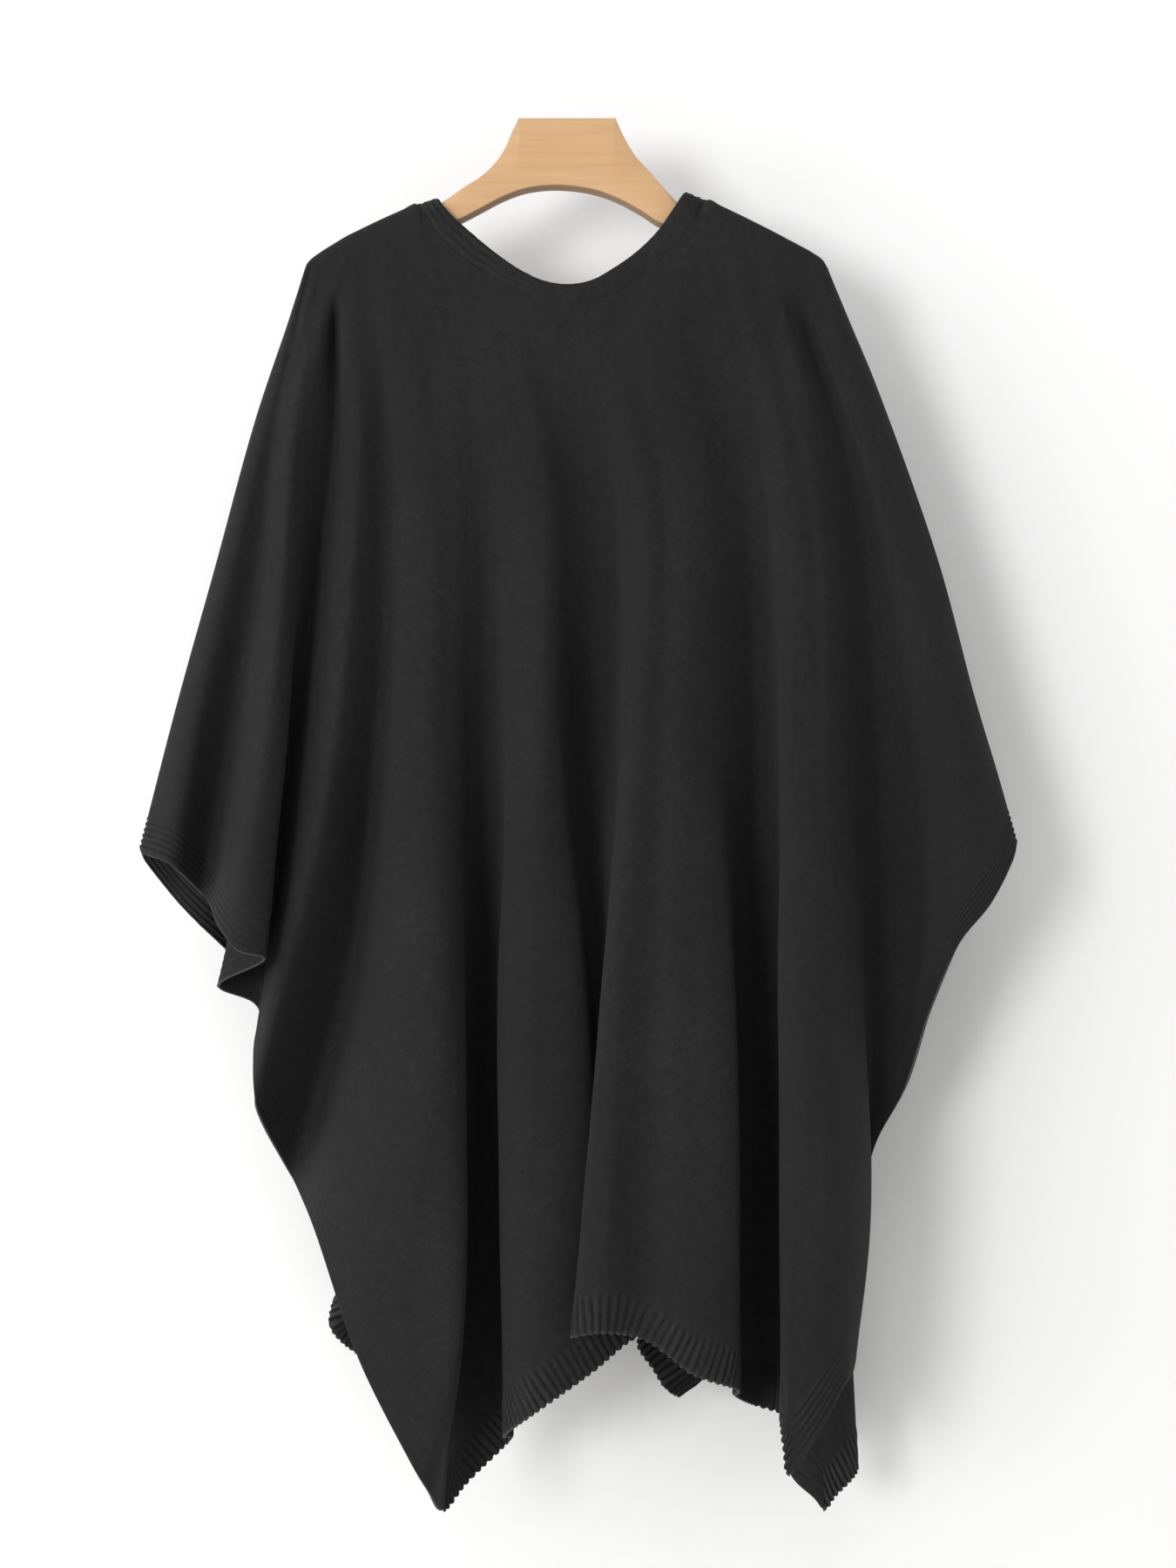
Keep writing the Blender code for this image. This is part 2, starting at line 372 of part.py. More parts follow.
def panel(name, folds, side, corners, knit, rib, seam=None, flat=("first", "last")):
    """A panel with its side and hem rib bands, and its opening band where it has a seam for one.
    corners: (fold name, split) where a side band ends and the hem band starts."""
    at = span_columns(folds, 1)
    tiny = 0.026
    for corner in corners:
        at += [index_of(folds, corner) - tiny, index_of(folds, corner) + tiny]
        at.remove(index_of(folds, corner))
    if seam:
        at += [index_of(folds, seam) + 0.02]
    at = np.array(sorted(at))
    grid = surface(folds, side, at)
    # Width of each band measured down its own column, which crosses the edge at a slant.
    edge = np.gradient(grid[:, -1], axis=0)
    down = grid[:, -1] - grid[:, -3]
    cosine = np.einsum("ij,ij->i", edge, down) / np.linalg.norm(edge, axis=1) / np.linalg.norm(down, axis=1)
    gap = 2.4 * SEAM_GAP / np.sqrt(np.clip(1 - cosine**2, 0.02, 1))
    slant = np.sqrt(np.clip(1 - cosine**2, 0.45, 1))
    slant = np.convolve(np.pad(slant, 3, mode="edge"), np.ones(7) / 7, "valid")
    bounds = [index_of(folds, c) for c in corners]
    is_side = (at < bounds[0]) | ((at > bounds[1]) if len(bounds) > 1 else False)
    width = np.where(is_side, SIDE_RIB, HEM_RIB)
    width = np.convolve(np.pad(width, 2, mode="edge"), np.ones(5) / 5, "valid") / slant
    rows = [grid[:, j] for j in range(grid.shape[1] - 1)]
    keep = len(TOP_ROWS) + len(DOWN_ROWS)
    seam_above = along(grid, width + gap)
    seam_below = along(grid, width)
    middle = along(grid, width * 0.5)
    body = np.stack(rows + [seam_above], 1)
    # The last kept row would pass the seam on a short column, so the rows below the middle are spread again.
    for i, line in enumerate(grid):
        run = lengths(line)
        end = run[-1] - width[i] - gap[i]
        stations = np.concatenate([[r / 1000 for r in TOP_ROWS], TOP_ROWS[-1] / 1000 + np.array(DOWN_ROWS) / 0.9 * 0.92 * (end - TOP_ROWS[-1] / 1000), [end]])
        for k in range(3):
            body[i, :, k] = np.interp(stations, run, line[:, k])
    whole = np.concatenate([body, seam_below[:, None], middle[:, None], grid[:, -1:]], 1)
    normal = normals(whole, at, side)
    last = body.shape[1]
    normal[:, last - 1] = normal[:, last] = normal[:, last - 1] + normal[:, last]
    normal[:, last - 1 : last + 1] /= np.linalg.norm(normal[:, last - 1 : last + 1], axis=2, keepdims=True)
    seam_i = index_of(folds, seam) if seam else at[-1]
    in_body = [i for i, a in enumerate(at) if a <= seam_i + 1e-6 and not any(abs(a - b - tiny) < 1e-6 for b in bounds)]
    made = {}
    ends = [f for f in flat if f == "first" or not seam]
    made[name] = shell(name, whole[in_body][:, :last], normal[in_body][:, :last], knit, ["top"] + ends)
    spans, start = [], -1.0
    for b in bounds:
        spans.append((start, b))
        start = b
    spans.append((start, seam_i + 1e-6))
    return made, whole, normal, at, last, spans


def band(name, whole, normal, columns, first_row, rib, flat=()):
    return shell(name, whole[columns][:, first_row:], normal[columns][:, first_row:], rib, flat)


# ---------------------------------------------------------------- build
for old in list(bpy.data.objects):
    bpy.data.objects.remove(old, do_unlink=True)
ROOT = bpy.data.objects.new("cape_on_hanger", None)
bpy.context.scene.collection.objects.link(ROOT)

# ---- wooden hanger: cross-sections one after another along it, from end to end
wood = material("beech", (0.63, 0.39, 0.17), 0.45)
near_left = [Pt(p.across, p.down + HANGER_DROP) for p in SHOULDER_LEFT[1:-1]]
near_right = [Pt(p.across, p.down + HANGER_DROP) for p in SHOULDER_RIGHT[1:-1]]
top_line = near_left + list(BLOCK_LEFT)[::-1] + list(BLOCK_RIGHT)[::-1] + near_right
under_line = [Pt(p.across + 6, p.down + WING_HEIGHT) for p in near_left] + list(ARC) + [Pt(p.across - 6, p.down + WING_HEIGHT) for p in near_right]
first, final = SHOULDER_LEFT[0].across + WING_END, SHOULDER_RIGHT[-1].across - WING_END
stations = sorted({first, first + 3, final - 3, final, *(p.across for p in top_line), *np.linspace(ARC[0].across, ARC[-1].across, 24)})
stations = [a for i, a in enumerate(stations) if i == 0 or a - stations[i - 1] > 1.2 or a == BLOCK_LEFT[0].across]
half = HANGER_THICK / 2
rings = []
for across in stations:
    end = min(across - first, final - across)
    squeeze = {0: 5.0, 3: 2.0}.get(end, 0.0)
    top = np.interp(across, [p.across for p in top_line], [p.down for p in top_line]) + squeeze
    if ARC[0].across < across < ARC[-1].across:
        under = spline([p.across for p in ARC], [[p.down] for p in ARC], [across])[0, 0]
    else:
        under = np.interp(across, [p.across for p in under_line], [p.down for p in under_line]) - squeeze
    slope_out = max(BLOCK_LEFT[-1].across - across, across - BLOCK_RIGHT[0].across)
    rounding = HANGER_EASE + (HANGER_ROUND - HANGER_EASE) * np.clip((slope_out + 26) / 26, 0, 1)
    high, low = place(across, top, half * 1000, -1), place(across, under, half * 1000, -1)
    ring = []
    for turn in (0, 30, 60, 90):  # near top corner, from the near face to the top
        a = np.radians(turn)
        ring.append((high[0], -half + rounding * (1 - np.sin(a + np.pi / 2)), high[2] - rounding * (1 - np.sin(a))))
    for turn in (90, 60, 30, 0):
        a = np.radians(turn)
        ring.append((high[0], half - rounding * (1 - np.sin(a + np.pi / 2)), high[2] - rounding * (1 - np.sin(a))))
    ease = HANGER_EASE
    ring += [(low[0], half, low[2] + ease), (low[0], half - ease, low[2]), (low[0], -half + ease, low[2]), (low[0], -half, low[2] + ease)]
    rings.append(ring)
mesh = bmesh.new()
verts = [[mesh.verts.new(p) for p in ring] for ring in rings]
for one, other in zip(verts, verts[1:]):
    for k in range(len(one)):
        mesh.faces.new((one[k], one[k - 1], other[k - 1], other[k]))
mesh.faces.new(verts[0])
mesh.faces.new(verts[-1][::-1])
bmesh.ops.recalc_face_normals(mesh, faces=mesh.faces)
hanger = finish("hanger", mesh, wood)

# ---- cloth
knit = material("knit", (0.022, 0.022, 0.023), 0.9)
ribbed = material("rib_knit", (0.020, 0.020, 0.021), 0.92)
for name, folds, side, corners, seam in (
    ("back_panel", BACK, -1, ("left_corner", "right_corner"), None),
    ("front_left", FRONT_LEFT, 1, ("outer_corner",), "band_seam"),
    ("front_right", FRONT_RIGHT, 1, ("outer_corner",), "band_seam"),
):
    made, whole, normal, at, last, spans = panel(name, folds, side, corners, knit, ribbed, seam)
    labels = {"back_panel": ("rib_side_back_left", "rib_hem_back", "rib_side_back_right"),
              "front_left": ("rib_side_front_left", "rib_hem_front_left"),
              "front_right": ("rib_side_front_right", "rib_hem_front_right")}[name]
    for label, (start, stop) in zip(labels, spans):
        columns = [i for i, a in enumerate(at) if start < a <= stop]
        flat = (["first"] if columns[0] == 0 else []) + (["last"] if columns[-1] == len(at) - 1 else [])
        band(label, whole, normal, columns, last, ribbed, flat)
    if name == "back_panel":  # the neck band carries the panel's columns on to the free edge
        tops = np.interp(at, np.arange(len(folds)), [f.top for f in folds])
        columns = [i for i, t in enumerate(tops) if NECK_SEAM[0].across - 1e-6 <= t <= NECK_SEAM[-1].across + 1e-6]
        share = (tops[columns] - tops[columns[0]]) / (tops[columns[-1]] - tops[columns[0]])
        edge = np.array([place(*p, side) for p in NECK_EDGE])
        run = lengths(edge)
        seam_run = lengths(whole[columns][:, 0])
        edge = spline(run, edge, seam_run / seam_run[-1] * run[-1])
        top = whole[columns][:, 0]
        reach = edge - top
        gap = SEAM_GAP * 2.5 / np.linalg.norm(reach, axis=1, keepdims=True)
        rows = [top + reach * (gap + (1 - gap) * t) for t in (1, 0.5, 0)]
        grid = np.stack(rows + [whole[columns][:, 0], whole[columns][:, 1]], 1)
        away = normals(grid, at[columns], side)[:, :3]
        away[:, 2] = normal[columns][:, 0]
        shell("neck_band", grid[:, :3], away, ribbed, ("first", "last"))
    if seam:
        columns = [i for i, a in enumerate(at) if a > index_of(folds, seam) + 1e-6]
        shell("band_" + name, whole[columns][:, [j for j in range(whole.shape[1]) if j != last]], normal[columns][:, [j for j in range(whole.shape[1]) if j != last]], ribbed, ["top"])
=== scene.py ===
"""Looks of the knitted open-front cape on its wooden hanger, seen from behind.

The cloth is one smooth surface through the folds of the tables below, the same that
the solids are made from, at a finer pitch. Flat places in the cloth (U across the
knit, V down it, in metres) are worked out for every point, so that the knit and the
ribs run along the real wales: square to the hem and along the side edges.
"""

import math
from collections import namedtuple

import bpy
import numpy as np
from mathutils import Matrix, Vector


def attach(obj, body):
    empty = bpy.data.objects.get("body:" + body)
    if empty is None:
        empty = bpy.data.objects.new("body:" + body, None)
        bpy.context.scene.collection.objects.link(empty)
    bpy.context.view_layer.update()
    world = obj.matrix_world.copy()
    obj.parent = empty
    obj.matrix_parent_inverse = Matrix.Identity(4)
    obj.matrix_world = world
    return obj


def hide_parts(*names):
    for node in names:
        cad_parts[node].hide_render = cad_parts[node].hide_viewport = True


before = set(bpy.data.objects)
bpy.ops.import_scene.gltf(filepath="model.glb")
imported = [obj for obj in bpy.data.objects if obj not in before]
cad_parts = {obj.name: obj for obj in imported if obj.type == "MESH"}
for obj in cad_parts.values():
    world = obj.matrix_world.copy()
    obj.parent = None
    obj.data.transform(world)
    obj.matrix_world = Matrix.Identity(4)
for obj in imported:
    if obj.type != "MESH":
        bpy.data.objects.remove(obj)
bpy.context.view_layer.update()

# ---------------------------------------------------------------- sizes and tables, as in the solids
UNIT = 0.00064          # m: one drawing unit, in which the outlines below are given
ORIGIN_AT = (651, 135)  # drawing position (across, down) of the middle of the block's near top edge
EYE_AT = (675, 900)     # drawing position of the level sight line
EYE_DISTANCE = 1.42     # m from the eye to the plane of the hanger
WALL = 0.0022           # m: knit thickness
HEM_RIB = 0.030         # m: height of the hem ribs
SIDE_RIB = 0.026        # m: width of the side rib bands
HANGER_THICK = 0.0145   # m: wood thickness, front to back
HANGER_ROUND = 0.0070   # m: rounding of the wings' top edges
HANGER_DROP = 6.4       # drawing units from the top of the cloth to the wood's near edge below it


# How the cloth leaves the shoulder line: (drop, out) in mm, over the rounded wing.
OVER_SHOULDER = ((0.0, 0.15), (0.6, 6.2), (3.2, 10.8), (8.5, 13.4), (20.0, 15.0), (42.0, 15.8))

# ---------------------------------------------------------------- outlines
Pt = namedtuple("Pt", "across down")
# Top of the cloth along the left shoulder, from the hanger's end to the neck.
SHOULDER_LEFT = (Pt(351, 309), Pt(356, 302), Pt(363, 295.5), Pt(372, 289), Pt(398, 273), Pt(437, 254), Pt(478, 235.5), Pt(500, 229))
SHOULDER_RIGHT = (Pt(790, 222), Pt(812, 231), Pt(848, 248), Pt(884, 266), Pt(918, 284), Pt(934, 293), Pt(943, 300), Pt(950, 308))
# Seam between the back and its neck band, then the band's free edge: across, down, mm out.
NeckPt = namedtuple("NeckPt", "across down out")
NECK_SEAM = (
    NeckPt(478, 235.5, 0.15), NeckPt(480, 234.5, 8), NeckPt(485, 241, 13), NeckPt(499, 264, 15), NeckPt(522, 289, 17), NeckPt(552, 310, 18),
    NeckPt(590, 331, 20), NeckPt(622, 344, 21), NeckPt(651, 348, 21), NeckPt(682, 345, 21), NeckPt(712, 334, 20), NeckPt(744, 311, 18),
    NeckPt(775, 281, 17), NeckPt(796, 253, 15), NeckPt(805, 237, 13), NeckPt(810, 230, 8), NeckPt(812, 231, 0.15),
)
NECK_EDGE = (
    NeckPt(500, 229, 0.15), NeckPt(502, 228, 8), NeckPt(506, 234, 13), NeckPt(517, 247, 14.5), NeckPt(536, 264, 15), NeckPt(562, 286, 17),
    NeckPt(596, 310, 19), NeckPt(624, 323, 20), NeckPt(651, 327, 20), NeckPt(680, 322, 20), NeckPt(704, 309, 19), NeckPt(731, 290, 17),
    NeckPt(757, 264, 15), NeckPt(774, 240, 14.5), NeckPt(783, 227, 13), NeckPt(788, 221, 8), NeckPt(790, 222, 0.15),
)

# ---------------------------------------------------------------- folds
# top: where the row starts on the shoulder and neck line (across).
# upper, middle, lower, end: (across, down, mm out from the plane of the hanger).
# high: an extra point at this share of the way from the top to upper, moved (across, mm out) from the straight line.
Fold = namedtuple("Fold", "name top upper middle lower end high", defaults=(None,))
BACK = (
    Fold("arm_fold_left", 351, (293, 482, 0.15), (247, 650, 0.15), (203, 808, 0.15), (160, 975, 0.15)),
    Fold("arm_turn_left", 354, (296, 483, 8), (250, 651, 9), (206, 809, 11), (164, 979, 12)),
    Fold("arm_lobe_left", 358, (305, 484, 13), (265, 652, 18), (229, 812, 26), (197, 992, 34)),
    Fold("sleeve_trough", 363, (316, 484, 13), (296, 652, 11), (270, 815, 8), (234, 1028, 3)),
    Fold("pleat_left", 369, (326, 484, 20), (311, 650, 31), (292, 830, 42), (249, 1062, 50)),
    Fold("pleat_ridge", 375, (338, 484, 27), (326, 655, 40), (309, 835, 54), (272, 1090, 68)),
    Fold("pleat_right", 381, (353, 485, 21), (342, 660, 30), (330, 845, 42), (306, 1100, 56)),
    Fold("pleat_under", 387, (370, 486, 12), (353, 664, 12), (320, 850, 11), (252, 1132, 26), (0.50, -3, 0)),
    Fold("pleat_tuck", 394, (386, 487, 4), (366, 664, 3), (335, 850, 6), (294, 1152, 4), (0.50, -5, -1)),
    Fold("side_lobe_left", 402, (396, 520, 21), (380, 700, 25), (350, 900, 27), (290, 1205, 24), (0.50, -5, 0)),
    Fold("side_lobe", 413, (412, 520, 26), (400, 700, 34), (376, 900, 44), (293, 1262, 44), (0.50, -4, 0)),
    Fold("side_trough", 428, (444, 570, 14), (433, 850, 10), (404, 1110, -4), (336, 1352, -14)),
    Fold("wide_lobe_left", 440, (464, 560, 24), (455, 850, 34), (428, 1140, 42), (361, 1412, 26)),
    Fold("wide_lobe", 452, (492, 560, 27), (488, 850, 43), (474, 1150, 66), (413, 1562, 56)),
    Fold("wide_lobe_right", 464, (512, 560, 24), (512, 850, 37), (513, 1200, 66), (470, 1676, 66)),
    Fold("left_fold", 478, (526, 560, 22), (527, 850, 28), (529, 1540, 64), (493, 1712, 58)),
    Fold("left_corner", 486, (537, 560, 19.5), (539, 850, 14), (520, 1580, 12), (511, 1732, 14)),
    Fold("deep_left_floor", 500, (549, 560, 18), (555, 850, 4), (549, 1250, -8), (536, 1700, -4)),
    Fold("deep_left_back", 514, (563, 560, 19), (573, 850, 8), (576, 1170, -1), (583, 1652, -8)),
    Fold("left_lobe_edge", 528, (579, 560, 23), (585, 850, 26), (572, 1170, 40), (578, 1645, 42)),
    Fold("left_lobe", 550, (610, 560, 27), (616, 850, 40), (606, 1160, 60), (614, 1619, 68)),
    Fold("left_lobe_right", 580, (632, 560, 26), (641, 850, 32), (666, 1135, 50), (680, 1573, 56)),
    Fold("middle_wall", 602, (653, 560, 14), (656, 850, 3), (682, 1140, 26), (728, 1534, 40)),
    Fold("middle_floor", 622, (676, 560, 9), (683, 850, -13), (703, 1150, 17), (764, 1526, 42)),
    Fold("middle_under", 640, (700, 560, 12), (706, 850, -1), (696, 1150, 40), (716, 1522, 62)),
    Fold("middle_lobe_edge", 655, (716, 560, 21), (716, 850, 30), (689, 1155, 62), (655, 1532, 76)),
    Fold("middle_lobe_left", 676, (738, 560, 28), (732, 850, 42), (706, 1155, 72), (686, 1528, 88)),
    Fold("middle_dip", 700, (760, 560, 26), (758, 850, 40), (745, 1155, 64), (738, 1534, 76)),
    Fold("middle_lobe_right", 724, (784, 560, 28), (784, 850, 42), (786, 1155, 70), (796, 1575, 90)),
    Fold("middle_lobe_end", 748, (812, 560, 23), (818, 850, 31), (842, 1160, 58), (847, 1592, 76)),
    Fold("deep_right_wall", 768, (836, 560, 13), (845, 850, 8), (844, 1160, 14), (846, 1600, 26)),
    Fold("deep_right_floor", 784, (855, 560, 9), (867, 850, -8), (869, 1160, -11), (869, 1611, -11)),
    Fold("deep_right_back", 797, (872, 560, 12), (886, 850, -3), (897, 1160, -6), (897, 1620, -8)),
    Fold("right_lobe_edge", 812, (887, 560, 21), (896, 850, 28), (894, 1170, 50), (895, 1628, 60)),
    Fold("right_lobe_left", 826, (902, 560, 28), (909, 860, 41), (908, 1190, 68), (900, 1662, 74)),
    Fold("right_corner", 838, (914, 560, 28), (926, 880, 43), (930, 1240, 74), (907, 1691, 78)),
    Fold("right_lobe", 848, (925, 560, 26), (941, 900, 42), (956, 1300, 72), (938, 1650, 76)),
    Fold("right_lobe_right", 857, (938, 560, 25), (956, 920, 39), (982, 1360, 56), (968, 1594, 64)),
    Fold("right_lobe_turn", 865, (952, 560, 19), (972, 940, 27), (1000, 1395, 26), (982, 1562, 38)),
    Fold("right_lobe_under", 873, (967, 560, 9), (990, 940, -3), (993, 1290, -10), (980, 1440, -4), (0.45, 5, 0)),
    Fold("wing_trough", 881, (982, 560, 3), (1013, 905, -17), (1020, 1135, -18), (1003, 1318, -12), (0.45, 7, -1)),
    Fold("wing_slope", 891, (999, 570, 9), (1042, 880, -8), (1055, 1070, -12), (1037, 1251, -8), (0.45, 5, 0)),
    Fold("wing_rise", 902, (1014, 590, 17), (1064, 850, 17), (1078, 1000, 15), (1066, 1161, 11), (0.40, 2, 0)),
    Fold("wing_lobe", 916, (1036, 610, 20), (1086, 830, 24), (1108, 950, 28), (1100, 1084, 28), (0.40, 3, 0)),
    Fold("wing_outer", 931, (1053, 630, 15), (1102, 805, 19), (1130, 915, 22), (1138, 1037, 24), (0.40, 4, 0)),
    Fold("arm_turn_right", 944, (1069, 640, 8), (1113, 798, 11), (1142, 897, 12), (1164, 986, 13), (0.40, 5, 0)),
    Fold("arm_fold_right", 950, (1076, 640, 0.15), (1119, 800, 0.15), (1146, 890, 0.15), (1168, 968, 0.15), (0.40, 5, 0)),
)
# The fronts hang behind, from the arm folds to their opening edges.
FRONT_LEFT = (
    Fold("arm_fold_left", 351, (293, 482, 0.15), (247, 650, 0.15), (203, 808, 0.15), (160, 975, 0.15)),
    Fold("arm_turn_left", 354, (296, 483, 8), (250, 652, 9), (206, 812, 9), (164, 984, 6)),
    Fold("arm_lobe_left", 359, (304, 486, 14), (262, 656, 18), (226, 822, 20), (194, 1022, 12)),
    Fold("sleeve_trough", 364, (316, 490, 12), (292, 668, 12), (266, 850, 13), (232, 1063, 12)),
    Fold("sleeve_lobe", 371, (334, 495, 26), (318, 690, 40), (304, 880, 50), (284, 1118, 40)),
    Fold("side_trough_1", 380, (356, 500, 14), (350, 700, 15), (344, 900, 18), (313, 1184, 24)),
    Fold("side_lobe_1", 392, (382, 510, 30), (384, 740, 48), (380, 980, 66), (326, 1290, 64)),
    Fold("side_trough_2", 404, (408, 520, 17), (416, 780, 24), (408, 1060, 32), (358, 1392, 36)),
    Fold("side_lobe_2", 416, (434, 530, 34), (448, 820, 60), (440, 1130, 84), (371, 1432, 72)),
    Fold("outer_edge", 425, (452, 536, 28), (470, 850, 46), (460, 1180, 70), (390, 1478, 66)),
    Fold("outer_corner", 432, (466, 542, 21), (488, 860, 30), (480, 1220, 52), (385, 1496, 64)),
    Fold("hem_trough_1", 439, (480, 548, 18), (505, 870, 24), (500, 1240, 42), (382, 1524, 54)),
    Fold("hem_lobe_1", 447, (500, 555, 32), (530, 880, 60), (532, 1240, 88), (432, 1563, 78)),
    Fold("hem_trough_2", 456, (520, 560, 18), (552, 890, 26), (556, 1250, 48), (500, 1580, 56)),
    Fold("hem_lobe_2", 466, (540, 565, 34), (574, 900, 62), (584, 1255, 88), (562, 1566, 98)),
    Fold("band_seam", 478, (560, 570, 26), (598, 905, 42), (614, 1260, 64), (618, 1550, 72)),
    Fold("opening_edge", 500, (582, 566, 20), (620, 905, 33), (637, 1260, 54), (642, 1546, 62)),
)
FRONT_RIGHT = (
    Fold("arm_fold_right", 950, (1076, 640, 0.15), (1119, 800, 0.15), (1146, 890, 0.15), (1168, 968, 0.15), (0.40, 5, 0)),
    Fold("arm_turn_right", 944, (1068, 640, 9), (1111, 798, 12), (1140, 897, 13), (1160, 986, 12), (0.40, 5, 0)),
    Fold("wing_lobe", 935, (1050, 632, 18), (1094, 800, 27), (1116, 915, 32), (1130, 1028, 32), (0.40, 4, 0)),
    Fold("wing_trough", 925, (1030, 620, 14), (1068, 830, 16), (1082, 960, 16), (1088, 1076, 14), (0.40, 3, 0)),
    Fold("side_lobe_1", 915, (1006, 605, 27), (1038, 830, 42), (1046, 1000, 54), (1046, 1152, 52), (0.40, 2, 0)),
    Fold("side_trough_1", 904, (982, 585, 17), (1008, 830, 25), (1014, 1050, 30), (1014, 1240, 28)),
    Fold("side_lobe_2", 893, (956, 570, 30), (980, 840, 48), (986, 1110, 62), (980, 1322, 52)),
    Fold("side_trough_2", 883, (938, 560, 16), (957, 860, 21), (960, 1180, 26), (956, 1420, 16)),
    Fold("side_lobe_3", 876, (930, 560, 19), (948, 870, 23), (946, 1210, 25), (920, 1560, 12)),
    Fold("outer_edge", 870, (926, 560, 21), (943, 880, 28), (938, 1300, 30), (906, 1688, 8)),
    Fold("outer_edge_low", 867, (924, 561, 23), (944, 885, 33), (940, 1360, 36), (935, 1719, 6)),
    Fold("outer_corner", 864, (922, 562, 25), (946, 890, 38), (942, 1420, 42), (946, 1731, 6)),
    Fold("corner_hem", 861, (919, 563, 28), (947, 895, 46), (952, 1430, 58), (958, 1716, 14)),
    Fold("corner_turn", 857, (916, 564, 31), (948, 900, 54), (972, 1440, 76), (985, 1684, 40)),
    Fold("corner_back", 850, (904, 562, 34), (932, 890, 66), (950, 1300, 98), (960, 1652, 84)),
    Fold("hem_lobe_1", 844, (888, 560, 32), (910, 880, 62), (920, 1280, 98), (924, 1626, 104)),
    Fold("hem_trough_1", 837, (868, 558, 18), (884, 870, 26), (890, 1260, 48), (888, 1596, 52)),
    Fold("hem_lobe_2", 830, (846, 556, 32), (856, 870, 60), (858, 1250, 90), (848, 1560, 102)),
    Fold("hem_trough_2", 823, (826, 556, 18), (828, 870, 27), (826, 1250, 48), (806, 1532, 58)),
    Fold("inner_lobe", 820, (812, 556, 27), (806, 870, 46), (798, 1250, 72), (764, 1512, 78)),
    Fold("inner_turn", 817, (806, 556, 26), (799, 870, 42), (792, 1330, 66), (733, 1537, 58)),
    Fold("inner_corner", 814, (802, 556, 24), (794, 870, 38), (797, 1500, 54), (752, 1571, 44)),
    Fold("band_seam", 812, (799, 556, 22), (790, 870, 35), (802, 1550, 44), (765, 1592, 35)),
    Fold("opening_edge", 790, (784, 560, 16), (780, 870, 26), (815, 1568, 34), (779, 1602, 26)),
)

# Wooden hanger: drawing positions. Its wings run on under the cloth.
BLOCK_LEFT = (Pt(595, 135), Pt(593, 140), Pt(588, 150), Pt(580, 169), Pt(567, 188), Pt(549, 204), Pt(530, 215.5), Pt(508, 228.5))
BLOCK_RIGHT = (Pt(784, 235), Pt(766, 219), Pt(747, 198), Pt(729, 178), Pt(716, 156), Pt(709, 141), Pt(706.5, 135))
ARC = (Pt(531, 250), Pt(552, 239), Pt(578, 225.5), Pt(601, 217), Pt(628, 213), Pt(654, 213.5), Pt(686, 219), Pt(712, 229), Pt(736, 242), Pt(758, 256))
WING_HEIGHT = 26        # drawing units, from a wing's top to its underside
WING_END = 18           # drawing units between a wing's end and the cloth's fold there


# ---------------------------------------------------------------- curves and surfaces
def place(across, down, out, side):
    """World point of a drawing position that lies `out` mm to the back (side -1) or the front (side 1)."""
    y = side * np.asarray(out, float) / 1000
    reach = (EYE_DISTANCE + y) / EYE_DISTANCE
    near = (EYE_DISTANCE - HANGER_THICK / 2) / EYE_DISTANCE
    x = (EYE_AT[0] - ORIGIN_AT[0]) * UNIT * near + (np.asarray(across, float) - EYE_AT[0]) * UNIT * reach
    z = (ORIGIN_AT[1] - EYE_AT[1]) * UNIT * near + (EYE_AT[1] - np.asarray(down, float)) * UNIT * reach
    return np.stack(np.broadcast_arrays(x, y, z), -1)


def spline(knots, values, at):
    """Smooth curve through values at knots, by finite-difference Hermite spans."""
    knots, values, at = np.asarray(knots, float), np.asarray(values, float), np.asarray(at, float)
    step = np.diff(knots)
    slope = np.diff(values, axis=0) / step[:, None]
    tangent = np.empty_like(values)
    tangent[0], tangent[-1] = slope[0], slope[-1]
    share = (step[1:] / (step[1:] + step[:-1]))[:, None]
    tangent[1:-1] = slope[:-1] * share + slope[1:] * (1 - share)
    i = np.clip(np.searchsorted(knots, at, side="right") - 1, 0, len(knots) - 2)
    t = ((at - knots[i]) / step[i])[:, None]
    h = step[i][:, None]
    return (
        values[i] * (1 + 2 * t) * (1 - t) ** 2 + tangent[i] * h * t * (1 - t) ** 2
        + values[i + 1] * t * t * (3 - 2 * t) + tangent[i + 1] * h * t * t * (t - 1)
    )


def lengths(points):
    return np.concatenate([[0], np.cumsum(np.linalg.norm(np.diff(points, axis=0), axis=1))])


def down_at(outline, across):
    return np.interp(across, [p.across for p in outline], [p.down for p in outline])


def neck_at(curve, across):
    a = [p.across for p in curve]
    return np.interp(across, a, [p.down for p in curve]), np.interp(across, a, [p.out for p in curve])


def high_point(fold, side):
    """The fold's extra point between the shoulder and `upper`, if it has one."""
    if fold.high is None:
        return None
    share, across, out = fold.high
    down = down_at(SHOULDER_LEFT if fold.top < 651 else SHOULDER_RIGHT, fold.top)
    held = min(fold.upper[2], OVER_SHOULDER[-1][1])
    return place(
        fold.top + (fold.upper[0] - fold.top) * share + across, down + (fold.upper[1] - down) * share,
        held + (fold.upper[2] - held) * share + out, side)


